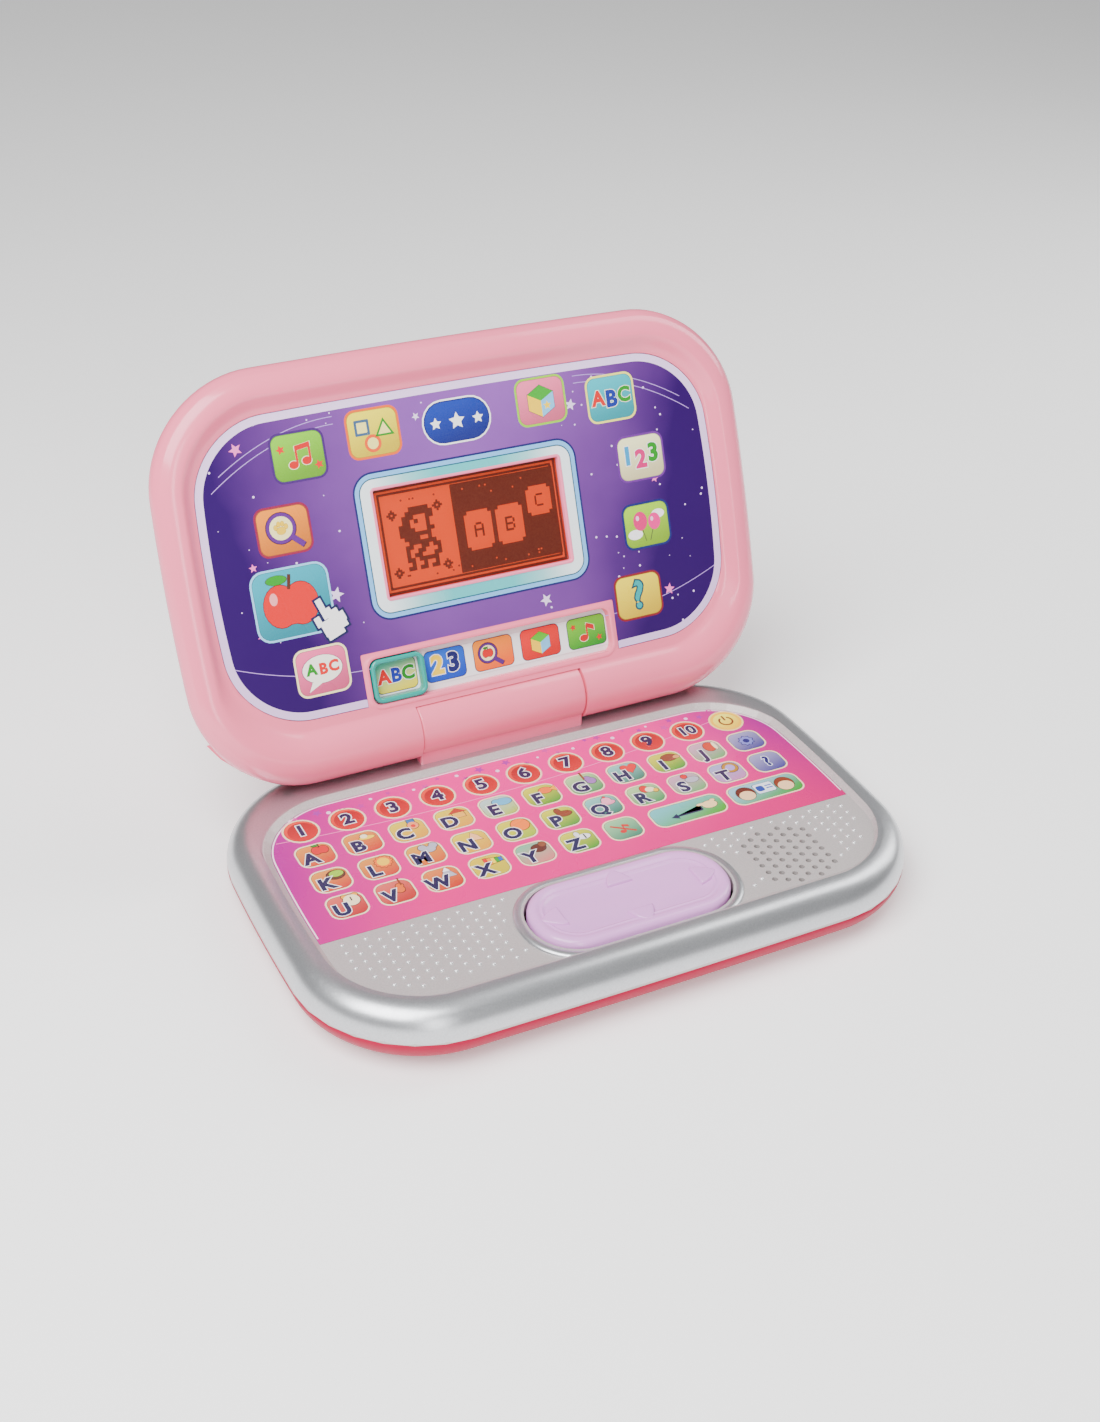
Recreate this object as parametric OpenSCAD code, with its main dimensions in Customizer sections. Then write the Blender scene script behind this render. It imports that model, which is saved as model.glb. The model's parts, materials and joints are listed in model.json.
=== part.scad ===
// Clamshell learning toy: a laptop-shaped case with a flat picture keyboard,
// a rocking cursor pad, a small LCD and a sliding mode picker in the lid.
// Millimetres. X to the right, Y away from the user, Z up. Z = 0 is the table.
// The lid's parts are drawn in the lid's own frame: X along the hinge axis,
// Y from the axis to the lid's free edge, Z out of the face with the screen.

/* [Case] */
// Width of both halves of the case
body_w = 265; // [230:1:320]
// Hinge axis to the front edge of the base
front_reach = 158.5; // [145:0.5:200]
// Corner radius of the case in plan
corner_r = 48; // [36:1:60]
// How far the sides bow out in the middle
side_bow = 3.5; // [0:0.5:5]
// How far the front edges bow out in the middle
front_bow = 1.5; // [0:0.5:3]
// Wall thickness of the shells
wall = 2.2; // [1.6:0.1:3]
// Opening angle of the lid at rest, from closed
open_angle = 112; // [80:0.5:125]

/* [Base] */
// Height of the printed keyboard above the table
deck_z = 26; // [24:0.5:34]
// Height of the rounded rim above the keyboard
rim_rise = 2; // [1:0.5:4]
// Height of the joint between the two base shells
parting_z = 15; // [12:0.5:17]
// Height of the feet below the bottom shell
foot_h = 1.5; // [1:0.25:3]
// Radius of a rubber foot
foot_r = 7; // [5:0.5:9]

/* [Keyboard] */
// Width of the recess that holds the keyboard sheet
recess_w = 236.4; // [200:0.2:240]
// Hinge axis to the back edge of the recess
recess_back = 15.5; // [15:0.5:22]
// Hinge axis to the front edge of the recess
recess_front = 143; // [130:0.5:146]
// Hinge axis to the front edge of the keyboard sheet
overlay_front = 99; // [90:0.5:103]
// Thickness of the printed sheet
overlay_t = 0.5; // [0.3:0.1:1]
// Thickness of the contact membrane under it
membrane_t = 0.8; // [0.4:0.1:1.2]

/* [Cursor pad] */
// Length of the pad, left to right
pad_w = 84; // [70:1:90]
// Depth of the pad, front to back
pad_d = 38; // [30:1:38]
// Hinge axis to the centre of the pad
pad_y = 124; // [120:0.5:126]
// Height of the pad's rim above the keyboard
pad_rise = 3.5; // [2:0.25:4]
// Gap between the pad and its well
pad_gap = 1.1; // [0.9:0.1:2]
// Width of the raised lip round the well
lip_w = 4.2; // [2:0.1:5]

/* [Speaker] */
// Centre of the grille, to the right of the middle
speaker_x = 73; // [70:0.5:76]
// Hinge axis to the centre of the grille
speaker_y = 124; // [122:0.5:126]
// Radius of the speaker's frame
speaker_r = 20; // [16:0.5:20]
// Radius of one grille hole
grille_r = 1.2; // [0.8:0.1:1.5]
// Spacing of the grille holes
grille_pitch = 4.7; // [4:0.1:6]

/* [Batteries] */
// Diameter of an AA cell
cell_d = 14.5; // [14.5:0.1:14.5]
// Length of an AA cell
cell_l = 50.5; // [50.5:0.1:50.5]
// Number of cells side by side
cell_n = 3; // [2:1:3]
// Hinge axis to the middle of the battery bay
bay_y = 58; // [54:1:66]

/* [Lid] */
// Face artwork in front of the hinge axis
label_h = 8.5; // [7:0.5:10]
// Back face of the lid behind the hinge axis
back_h = 9; // [8:0.5:12]
// Radius of the knuckles round the hinge axis
barrel_r = 13.3; // [12.5:0.1:14.5]
// Width of the frame round the artwork
frame_w = 16.2; // [14:0.1:20]
// Hinge axis to the lower edge of the artwork
label_low = 13.8; // [13:0.1:20]
// Width of the screen opening
lcd_w = 84; // [70:1:90]
// Height of the screen opening
lcd_h = 44.4; // [36:0.2:48]
// Hinge axis to the middle of the screen
lcd_y = 79.5; // [76:0.5:86]

/* [Mode picker] */
// Width of the picker's window
picker_w = 112; // [100:1:120]
// Height of the picker's window
picker_h = 19.7; // [16:0.1:22]
// Top of the hinge barrel to the middle of the window
picker_rise = 10.5; // [10.2:0.1:14.7]
// Depth of the window below the artwork
picker_depth = 3.9; // [3:0.1:3.9]
// Width of the slider
slider_w = 24; // [18:1:28]
// How far the slider stands proud of the artwork
slider_proud = 0.8; // [0.4:0.1:1.5]

/* [Hinge] */
// Length of the hinge cover along the axis
cover_w = 76.6; // [60:0.2:90]
// Radius of the hinge pins
pin_r = 5; // [4:0.25:6]
// Bore of the hollow pins
pin_bore_r = 3; // [2:0.25:3.5]
// Running clearance between a pin and its bracket
pin_clear = 0.05; // [0.02:0.01:0.1]
// Gap between fixed and moving parts
gap = 0.5; // [0.4:0.05:0.8]

/* [Fasteners] */
// Radius of a case screw's shank
screw_r = 1.45; // [1.2:0.05:1.7]
// Radius of a case screw's head
screw_head_r = 2.8; // [2.4:0.1:3.2]
// Height of a case screw's head
screw_head_h = 2; // [1.5:0.1:2.5]

/* [Hidden] */
$fn = 48;
eps = 0.01;
thin = 0.02;

// Heights in the base
rim_z = deck_z + rim_rise;
bed_z = deck_z - overlay_t - membrane_t;
roof_z = bed_z - 2;
floor_z = foot_h + wall;
rear_reach = barrel_r;
hinge_z = rim_z + barrel_r + 0.7;

// The lid leans back, so the middle of the footprint lies behind the base's own
lid_reach = front_reach;
lid_edge_r = 13;
lid_corner_r = corner_r - 3;
lid_back_y = -(lid_reach - lid_edge_r) * cos(open_angle)
  + (back_h - lid_edge_r) * sin(open_angle) + lid_edge_r;
hinge_y = (front_reach - lid_back_y) / 2;

// Outline insets of the base at its heights, from the feet to the rim
base_low = [[foot_h, 16], [foot_h + 0.7, 12], [foot_h + 3, 6.5],
  [foot_h + 7, 2.5], [parting_z, 0]];
base_low_in = [[floor_z, 13.5], [floor_z + 2.4, 8.2], [floor_z + 6, 5],
  [parting_z + eps, 3.4]];
base_high = [[parting_z, 0], [parting_z + 0.31 * (rim_z - parting_z), 0.3],
  [parting_z + 0.58 * (rim_z - parting_z), 1.7],
  [parting_z + 0.79 * (rim_z - parting_z), 4.6],
  [parting_z + 0.95 * (rim_z - parting_z), 8.6], [rim_z, 12]];

// The lid's profile, from the joint between its shells to the crest and the back
crest_h = barrel_r;
lid_draft = 1.6;
lid_front = [[0, lid_draft], [0.22 * crest_h, 0.4], [0.4 * crest_h, 0], [0.6 * crest_h, 0.6],
  [0.82 * crest_h, 3.2], [0.97 * crest_h, 8], [crest_h, 11.5]];
lid_back = [[-back_h, 13], [-0.9 * back_h, 9], [-0.67 * back_h, 5.6],
  [-0.33 * back_h, 3.2], [0, lid_draft]];
lid_back_in = [[wall - back_h, 11.5], [-0.45 * back_h, 7], [1, lid_draft + 2.8]];
lid_knuckle = [for (p = lid_front) [-p[0], p[1]]];
bed_h = label_h - 0.4;
face_h = bed_h - 2;
label_hw = body_w / 2 - frame_w;
label_top = lid_reach - frame_w - 2;

// Screws, as [x, distance in front of the hinge axis]
base_screws = [for (s = [-1, 1]) each [[s * (body_w / 2 - 34.5), front_reach - 30.5],
  [s * (body_w / 2 - 32.5), 12], [s * (body_w / 2 - 24.5), 70]]];
lid_screws = [for (s = [-1, 1]) each [[s * (body_w / 2 - 24.5), 38],
  [s * (body_w / 2 - 24.5), 112], [s * 45, lid_reach - 15]]];
boss_r = screw_r + 2.3;
head_z = foot_h + 4;

// Feet, as [x, distance in front of the hinge axis]
feet = [for (s = [-1, 1]) each [[s * (body_w / 2 - 46.5), front_reach - 24.5],
  [s * (body_w / 2 - 48.5), 16]]];

// Battery bay, open towards the table and closed by its cover
bay_w = cell_l + 8;
bay_d = cell_n * (cell_d + 0.4) + 1.2;
bay_roof = floor_z + cell_d + 0.9;
cell_z = floor_z + cell_d / 2 + 0.5;
cover_lap = 3;
door_w = bay_w + 2 * cover_lap;
door_d = bay_d + 2 * cover_lap;
door_t = wall - 1.1;
door_screw = [0, bay_y - door_d / 2 - 2.5];
door_tab_r = 5;
door_gap = 0.3;
door_edge = bay_y + door_d / 2 + door_gap;

// Pad, its rubber mat and its board
pad_r = pad_d / 2 - 1;
pad_top = deck_z + pad_rise;
pad_flange = pad_gap + 1.6;
flange_z = roof_z - 2.2;
pivot_z = deck_z - 5;
board_z = deck_z - 10.8;
mat_w = pad_w - 2;
mat_d = pad_d - 2;

// Main board, to the left of the pad
main_x = -80;
main_y = 98;
wire_r = 2;
wire_z = board_z + wire_r + 0.1;

// Picker: pocket floor, slider and the slots for its legs
pocket_h = label_h - picker_depth;
picker_y = barrel_r + picker_rise;
slider_d = picker_h - 1;
slider_travel = picker_w - slider_w - 1;
leg_l = 10;
leg_t = 1.2;
leg_y = slider_d / 2 - 1.1;

// Hinge bracket and cover
cover_r = barrel_r - 0.7;
notch_z = deck_z - 4;
slot_hw = cover_w / 2 + gap;
slot_top = cover_r - 2.6;
hollow_low = cover_r + gap + wall;
foot_hd = slot_top - gap - 0.1;
ear_t = 9;
pin_in = cover_w / 2 - 2 - ear_t - 0.8;
pin_out = slot_hw + 12;

// Screen stack, from the lens down
lens_t = 1;
lens_w = lcd_w + 8;
lens_d = lcd_h + 9.6;
glass_t = 2.2;
mirror_t = 0.4;
lid_board_t = 1.6;
lid_board_h = face_h - lens_t - glass_t - mirror_t - 2;

// Rounded rectangle with bowed sides, as a list of points
function ring(hw, y0, y1, r, bx, by) =
  let (hx = hw - bx, hy = (y1 - y0) / 2 - by, c = (y0 + y1) / 2,
    s = [[1, 1], [-1, 1], [-1, -1], [1, -1]],
    flat = [for (q = [0:3]) each concat(
      [for (i = [0:7]) [s[q][0] * (hx - r) + r * cos(90 * q + 90 * i / 7),
        s[q][1] * (hy - r) + r * sin(90 * q + 90 * i / 7)]],
      let (n = (q + 1) % 4,
        p = [s[q][0] * (hx - r) + r * cos(90 * q + 90),
          s[q][1] * (hy - r) + r * sin(90 * q + 90)],
        e = [s[n][0] * (hx - r) + r * cos(90 * q + 90),
          s[n][1] * (hy - r) + r * sin(90 * q + 90)])
      [for (i = [1:4]) p + (e - p) * i / 5])])
  [for (p = flat) [p[0] + bx * sign(p[0]) * (1 - pow(p[1] / hy, 2)),
    c + p[1] + by * sign(p[1]) * (1 - pow(p[0] / hx, 2))]];

// Plan outline of the base, drawn inwards from its edge
function base_ring(inset) = ring(body_w / 2 - inset, hinge_y - front_reach + inset,
  hinge_y + rear_reach - inset, corner_r - inset, side_bow, front_bow);

// Plan outline of the lid, drawn inwards from its edge
function lid_ring(inset) = ring(body_w / 2 - inset, -barrel_r - lid_draft + inset,
  lid_reach - inset, lid_corner_r - inset, side_bow, front_bow);

// Recess in the deck, drawn inwards from its edge
function recess_ring(inset) = ring(recess_w / 2 - inset, hinge_y - recess_front + inset,
  hinge_y - recess_back - inset, 30 - inset, 3, 0.8);

// Outline of the lid's artwork
function label_ring(inset) = ring(label_hw - inset, label_low + inset,
  label_top - inset, corner_r - frame_w - 1.5 - inset, side_bow, front_bow);

// Cursor pad in plan, grown outwards
function pad_ring(grow) = ring(pad_w / 2 + grow, hinge_y - pad_y - pad_d / 2 - grow,
  hinge_y - pad_y + pad_d / 2 + grow, pad_r + grow, 0, 0);

// One thin slice of an outline
module slice(points, z) translate([0, 0, z]) linear_extrude(thin) polygon(points);

// Block between two heights
module slab(points, z0, z1) translate([0, 0, z0]) linear_extrude(z1 - z0) polygon(points);

// Upright box given by its middle in plan
module plate(x, y, w, d, z0, z1) translate([x - w / 2, y - d / 2, z0])
  cube([w, d, z1 - z0]);

// Upright peg at a plan place in front of the hinge axis
module peg(p, r, z0, z1) translate([p[0], hinge_y - p[1], z0]) cylinder(r = r, h = z1 - z0);

// The same in the lid's own frame
module lid_peg(p, r, z0, z1) translate([p[0], p[1], z0]) cylinder(r = r, h = z1 - z0);

// Rod along the hinge axis of whatever frame it is drawn in
module rod_x(r, x0, x1) translate([x0, 0, 0]) rotate([0, 90, 0]) cylinder(r = r, h = x1 - x0);

// Puts the lid's own frame at its rest angle
module on_lid() translate([0, hinge_y, hinge_z]) rotate([180 - open_angle, 0, 0]) children();

// Rose shell: floor, side wall, battery bay, bosses and the locating lip
module base_bottom_shell() color([0.82, 0.33, 0.5]) {
  difference() {
    union() {
      difference() {
        hull() for (p = base_low) slice(base_ring(p[1]), p[0] - (p[0] == foot_h ? 0 : thin));
        hull() for (p = base_low_in) slice(base_ring(p[1]), p[0]);
      }
      difference() {
        slab(base_ring(3.4), parting_z - 3, parting_z + 2.4);
        slab(base_ring(4.9), parting_z - 3 - eps, parting_z + 2.4 + eps);
      }
      plate(0, hinge_y - bay_y, bay_w + 2 * wall, bay_d + 2 * wall, floor_z - eps,
        bay_roof + 1.5);
      for (p = base_screws) peg(p, boss_r + 1.5, floor_z - eps, parting_z - 0.1);
      peg(door_screw, boss_r, floor_z - eps, floor_z + 4);
    }
    plate(0, hinge_y - bay_y, bay_w, bay_d, foot_h - 1, bay_roof);
    plate(0, hinge_y - bay_y, door_w + 2 * door_gap, door_d + 2 * door_gap, foot_h - 1,
      foot_h + door_t + door_gap);
    peg(door_screw, door_tab_r + door_gap, foot_h - 1, foot_h + door_t + door_gap);
    peg(door_screw, screw_r + 0.5, foot_h - 1, floor_z + 3);
    for (s = [-1, 1]) plate(s * door_w / 4, hinge_y - door_edge, 9, 5.6, foot_h + 0.5,
      floor_z + 1.2);
    for (p = base_screws) {
      peg(p, screw_r + 0.35, foot_h - 1, parting_z);
      peg(p, screw_head_r + 0.3, foot_h - 1, head_z);
    }
    for (p = feet) peg(p, foot_r, foot_h - 1, foot_h + 0.5);
  }
}

// Silver shell: rounded rim, sunken deck, pad well, grille and inner bosses
module base_top_shell() color([0.78, 0.78, 0.8]) {
  difference() {
    union() {
      difference() {
        hull() for (p = base_high) slice(base_ring(p[1]), p[0] - (p[0] == parting_z ? 0 : thin));
        hull() {
          slice(recess_ring(0), deck_z);
          slice(recess_ring(-2.6), rim_z + thin);
        }
        difference() {
          slab(base_ring(3.2), parting_z - eps, roof_z);
          plate(0, hinge_y, cover_w + 2 * gap + 4, 2 * (cover_r + 4), notch_z - 2.5, roof_z + 1);
        }
        slab(base_ring(3.2), parting_z - eps, parting_z + 2.6);
      }
      slab(pad_ring(pad_gap + lip_w * 0.7), roof_z, deck_z + 1.2);
      for (p = base_screws) peg(p, boss_r, parting_z + 0.1, roof_z + eps);
      for (p = keypad_board_screws()) peg(p, 2.6, board_z, roof_z + eps);
      for (p = main_board_screws()) peg(p, 2.6, board_z, roof_z + eps);
    }
    slab(keyboard_points(0.2), bed_z, rim_z);
    plate(-60, hinge_y - 30, 26, 2.4, roof_z - 1, bed_z + 1);
    slab(pad_ring(pad_gap), roof_z - 1, rim_z + 5);
    for (p = grille_points()) peg(p, grille_r, roof_z - 1, deck_z + 1);
    for (p = base_screws) peg(p, screw_r, parting_z - 1, roof_z - 0.8);
    for (p = keypad_board_screws()) peg(p, 1.1, board_z - 1, roof_z - 0.8);
    for (p = main_board_screws()) peg(p, 1.1, board_z - 1, roof_z - 0.8);
    plate(0, hinge_y, cover_w + 0.6, 2 * foot_hd + 0.2, notch_z, rim_z + 1);
    peg([0, 0], 4.5, notch_z - 5, notch_z + 1);
    for (s = [-1, 1]) peg([s * 12, 0], 1.1, notch_z - 5, notch_z + 1);
  }
}

// Area of the deck that the sheet covers
function keyboard_points(clear) = [for (p = recess_ring(0.3 - clear))
  [p[0], max(p[1], hinge_y - overlay_front - clear)]];

// Staggered grid of holes inside the grille's circle
function grille_points() = [for (i = [-6:6], j = [-6:6])
  let (x = grille_pitch * i, y = grille_pitch * (j + (i % 2 == 0 ? 0 : 0.5)))
  if (norm([x, y]) <= speaker_r - 1.4) [speaker_x + x, speaker_y + y]];

function keypad_board_screws() = [for (s = [-1, 1]) [s * (pad_w / 2 + 6.5), pad_y]];
function main_board_screws() = [for (s = [-1, 1]) [main_x + s * 20, main_y]];

// Printed picture keyboard, a plastic sheet that lies flush in the deck
module keyboard_overlay() color([0.92, 0.35, 0.65])
  slab(keyboard_points(0), deck_z - overlay_t, deck_z);

// Three-layer contact membrane under the sheet, with its tail into the case
module keyboard_membrane() color([0.75, 0.85, 0.8]) {
  slab(keyboard_points(0), bed_z, bed_z + membrane_t);
  plate(-60, hinge_y - 30, 24, 0.8, board_z + 4, bed_z + eps);
}

// Outside of the hinge cover in the plane across the axis
module cover_outline(r, half_depth, low) {
  circle(r);
  translate([-half_depth, low]) square([2 * half_depth, -low]);
}

// Pink cover over the hinge bracket, open below
module hinge_centre_cover() color([0.93, 0.64, 0.72])
  translate([0, hinge_y, hinge_z]) difference() {
    translate([-cover_w / 2, 0, 0]) rotate([90, 0, 90]) linear_extrude(cover_w)
      cover_outline(cover_r, foot_hd, notch_z - hinge_z);
    translate([-cover_w / 2 + 2, 0, 0]) rotate([90, 0, 90]) linear_extrude(cover_w - 4)
      cover_outline(cover_r - wall, foot_hd - wall, notch_z - hinge_z - 1);
    rod_x(pin_r + 0.4, -cover_w, cover_w);
  }

// Bracket on the deck with the bearings for the two pins
module hinge_bracket() color([0.35, 0.35, 0.38]) difference() {
  union() {
    plate(0, hinge_y, cover_w - 5, 2 * foot_hd - 4.8, notch_z, notch_z + 3);
    for (s = [-1, 1]) {
      plate(s * (cover_w / 2 - 2.5 - ear_t / 2), hinge_y, ear_t, 2 * foot_hd - 4.8, notch_z,
        hinge_z);
      translate([s * (cover_w / 2 - 2.5 - ear_t / 2) - ear_t / 2, hinge_y, hinge_z])
        rotate([0, 90, 0]) cylinder(r = pin_r + 2.6, h = ear_t);
    }
  }
  translate([0, hinge_y, hinge_z]) rod_x(pin_r + pin_clear, -cover_w, cover_w);
  peg([0, 0], 4.5, notch_z - 1, notch_z + 4);
  for (s = [-1, 1]) peg([s * 12, 0], 1.5, notch_z - 1, notch_z + 4);
}

// Two screws that hold the bracket down
module bracket_screws() color([0.6, 0.6, 0.62]) for (s = [-1, 1]) {
  peg([s * 12, 0], 1.1, notch_z - 2.4, notch_z + 3);
  peg([s * 12, 0], 2.6, notch_z + 3, notch_z + 4.6);
}

// Centre of each dome, in front of the hinge axis
function dome_points() = [for (s = [-1, 1]) each [[s * (pad_w / 2 - 9), pad_y],
  [0, pad_y + s * (pad_d / 2 - 6)]]];

// Silicone mat with four domes, one under each arrow
module rubber_keypad() color([0.85, 0.85, 0.82]) {
  z0 = board_z;
  difference() {
    slab(pad_ring(-1), z0, z0 + 1.2);
    peg([0, pad_y], 6, z0 - 1, z0 + 2);
  }
  for (p = dome_points()) peg(p, 3.2, z0 + 1, z0 + 2.9);
}

// Board with the four contact pads under the mat
module keypad_pcb() color([0.15, 0.4, 0.2]) difference() {
  plate(0, hinge_y - pad_y, pad_w + 18, pad_d - 1, board_z - 1.6, board_z);
  for (p = keypad_board_screws()) peg(p, 1.3, board_z - 2, board_z + 1);
}

// Main board, with its chip under a resin blob
module main_pcb() color([0.15, 0.4, 0.2]) {
  difference() {
    plate(main_x, hinge_y - main_y, 50, 34, board_z - 1.6, board_z);
    for (p = main_board_screws()) peg(p, 1.3, board_z - 2, board_z + 1);
  }
  peg([main_x, main_y + 9], 7, board_z - eps, board_z + 2);
}

// Screws that hold both boards in the base
module board_screws() color([0.6, 0.6, 0.62])
  for (p = concat(keypad_board_screws(), main_board_screws())) {
    peg(p, 1.1, board_z - 1.6 - eps, board_z + 4);
    peg(p, 2.3, board_z - 3.2, board_z - 1.6);
  }

// Round loudspeaker, cone up, with its magnet below
module speaker() color([0.25, 0.25, 0.27]) translate([speaker_x, hinge_y - speaker_y, 0])
  difference() {
    union() {
      translate([0, 0, roof_z - 6.2]) cylinder(r1 = speaker_r * 0.62, r2 = speaker_r, h = 4);
      translate([0, 0, roof_z - 2.3]) cylinder(r = speaker_r, h = 1.3);
      translate([0, 0, roof_z - 11]) cylinder(r = speaker_r / 2, h = 5);
    }
    translate([0, 0, roof_z - 5]) cylinder(r1 = speaker_r * 0.4, r2 = speaker_r - 2, h = 4.1);
  }

// Foam ring between the speaker and the deck
module speaker_gasket() color([0.1, 0.1, 0.1]) difference() {
  peg([speaker_x, speaker_y], speaker_r, roof_z - 1, roof_z);
  peg([speaker_x, speaker_y], speaker_r - 1.6, roof_z - 2, roof_z + 1);
}

// Centre of each cell across the bay
function cell_y(i) = hinge_y - bay_y + (i - (cell_n - 1) / 2) * (cell_d + 0.4);

// Nickel plates and springs at the ends of the cells
module battery_contacts() color([0.75, 0.75, 0.7]) for (i = [0:cell_n - 1], s = [-1, 1]) {
  translate([s * (bay_w / 2 - 0.3), cell_y(i), cell_z]) cube([0.6, 9, 9], center = true);
  translate([s > 0 ? cell_l / 2 + 0.3 : -bay_w / 2 + 0.6, cell_y(i), cell_z])
    rotate([0, 90, 0])
      cylinder(r = s > 0 ? 2.5 : 4, h = (bay_w - cell_l) / 2 - (s > 0 ? 0.9 : 0.6));
}

// Three AA cells
module batteries() color([0.2, 0.45, 0.75]) for (i = [0:cell_n - 1])
  translate([-cell_l / 2, cell_y(i), cell_z]) rotate([0, 90, 0]) {
    cylinder(r = cell_d / 2, h = cell_l - 1);
    cylinder(r = 2.75, h = cell_l + 0.3);
  }

// Four rubber feet, glued in shallow seats
module rubber_feet() color([0.3, 0.3, 0.32]) for (p = feet) peg(p, foot_r, 0, foot_h + 0.5);

// Screws through the bottom shell into the top shell
module base_case_screws() color([0.6, 0.6, 0.62]) for (p = base_screws) {
  peg(p, screw_r, head_z - eps, roof_z - 1.2);
  peg(p, screw_head_r, head_z - screw_head_h, head_z);
}

// Wires from the main board up into the hollow pin
module cable_base_run() color([0.2, 0.2, 0.22]) {
  corners = [[main_x, main_y - 10, board_z], [main_x, main_y - 10, wire_z],
    [main_x, 0, wire_z], [0, 0, wire_z], [0, 0, hinge_z], [pin_in - 1, 0, hinge_z]];
  for (i = [0:4]) wire_leg(corners[i], corners[i + 1]);
  for (i = [1:4]) translate([corners[i][0], hinge_y - corners[i][1], corners[i][2]])
    sphere(r = wire_r);
}

// Straight stretch of wire along one axis, between two corners
module wire_leg(p, q) {
  v = [q[0] - p[0], p[1] - q[1], q[2] - p[2]];
  translate([p[0], hinge_y - p[1], p[2]])
    rotate([v[1] == 0 ? 0 : v[1] > 0 ? -90 : 90, v[0] == 0 ? 0 : v[0] > 0 ? 90 : -90, 0])
      cylinder(r = wire_r, h = norm(v));
}

// Rounded solid over the lid's outline, from a list of [height, inset] and its lowest height
module lid_solid(profile, low) hull() for (p = profile)
  slice(lid_ring(p[1]), p[0] - (p[0] > low ? thin : 0));

// Part of the lid that lies clear of the knuckles' round edge
module lid_clear() {
  rod_x(barrel_r, -body_w / 2, body_w / 2);
  translate([-body_w, 0, -2 * barrel_r]) cube([2 * body_w, 2 * lid_reach, 4 * barrel_r]);
}

// What is cut from both halves of the lid round the hinge
module hinge_cuts() {
  translate([-slot_hw, -2 * barrel_r, -2 * barrel_r])
    cube([2 * slot_hw, 2 * barrel_r + slot_top, 4 * barrel_r]);
  rod_x(cover_r + gap, -slot_hw, slot_hw);
  rod_x(pin_r, -pin_out, pin_out);
  for (s = [-1, 1]) {
    rod_x(barrel_r - 2.6, s > 0 ? pin_out + 5 : -body_w / 2 + 36,
      s > 0 ? body_w / 2 - 36 : -pin_out - 5);
    plate(s * (pin_out + 3), 8, 7, 24, -4, 4);
  }
}

// Pink front half of the lid: frame, artwork bed, screen opening and picker pocket
module lid_front_shell() color([0.93, 0.64, 0.72]) on_lid() {
  difference() {
    union() {
      difference() {
        intersection() {
          lid_solid(lid_front, 0);
          lid_clear();
        }
        hull() {
          slice(label_ring(0), label_h);
          slice(label_ring(-frame_w + 12.5), crest_h + thin);
        }
        slab(label_ring(0), bed_h, label_h + 1);
        difference() {
          slab(lid_ring(lid_draft + 2.8), -eps, face_h);
          translate([-body_w, -body_w, -1]) cube([2 * body_w, body_w + hollow_low, face_h + 2]);
        }
      }
      plate(0, picker_y, picker_w + 3.2, picker_h + 3.2, pocket_h - 1.5, bed_h);
      plate(0, picker_y, picker_w + 5, picker_h + 5, face_h, label_h);
      for (p = lid_screws) lid_peg(p, boss_r, 0.1, face_h + eps);
      for (p = lid_board_screw_points()) lid_peg(p, 2.4, lid_board_h, face_h + eps);
    }
    plate(0, lcd_y, lcd_w, lcd_h, face_h - 1, crest_h);
    plate(0, picker_y, picker_w, picker_h, pocket_h, crest_h);
    for (s = [-1, 1]) plate(0, picker_y + s * leg_y, slider_travel + leg_l + 1, leg_t + 0.8,
      pocket_h - 3, pocket_h + 1);
    for (p = lid_screws) lid_peg(p, screw_r, -1, face_h - 0.6);
    for (p = lid_board_screw_points()) lid_peg(p, 1, lid_board_h - 1, face_h - 0.6);
    hinge_cuts();
  }
}

function lid_board_screw_points() = [for (s = [-1, 1], t = [-1, 1])
  [s * (lens_w / 2 + 3.2), lcd_y + t * (lens_d / 2 + 2.6)]];

// Pink back half of the lid, a plain tray with bosses
module lid_back_shell() color([0.93, 0.64, 0.72]) on_lid() difference() {
  union() {
    difference() {
      intersection() {
        lid_solid(lid_back, -back_h);
        lid_clear();
      }
      difference() {
        lid_solid(lid_back_in, wall - back_h);
        translate([-body_w, -body_w, -2 * back_h]) cube([2 * body_w, body_w + hollow_low, 3 * back_h]);
        for (p = lid_screws) lid_peg(p, boss_r + 1.3, -back_h, -0.1);
      }
    }
    difference() {
      intersection() {
        lid_solid(lid_knuckle, -crest_h);
        rod_x(barrel_r, -body_w / 2, body_w / 2);
      }
      rod_x(barrel_r - wall, -body_w / 2 + 30, body_w / 2 - 30);
      translate([-body_w, -2 * barrel_r, -back_h + 1]) cube([2 * body_w, 4 * barrel_r, 2 * back_h]);
    }
    for (s = [-1, 1]) plate(s * 30, picker_y, 2, 12, wall - back_h - eps, pocket_h - 5.2);
  }
  hinge_cuts();
  for (p = lid_screws) {
    lid_peg(p, screw_r + 0.35, -back_h - 1, 1);
    lid_peg(p, screw_head_r + 0.3, -back_h - 1, -back_h + 4);
  }
}

// Printed card that fills the lid's face, cut out for screen and picker
module lid_artwork_panel() color([0.5, 0.36, 0.68]) on_lid() difference() {
  slab(label_ring(0.15), bed_h, label_h);
  plate(0, lcd_y, lcd_w + 0.6, lcd_h + 0.6, bed_h - 1, label_h + 1);
  plate(0, picker_y - 5, picker_w + 5.6, picker_h + 15.6, bed_h - 1, label_h + 1);
}

// Strip of pictures on the floor of the picker's pocket
module picker_picture_strip() color([0.9, 0.75, 0.3]) on_lid()
  plate(0, picker_y, picker_w - 0.4, 2 * (leg_y - leg_t / 2 - 0.7), pocket_h, pocket_h + 0.3);

// Clear lens behind the screen opening
module lcd_window() color([0.85, 0.9, 0.95, 0.4]) on_lid()
  plate(0, lcd_y, lens_w, lens_d, face_h - lens_t, face_h);

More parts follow.
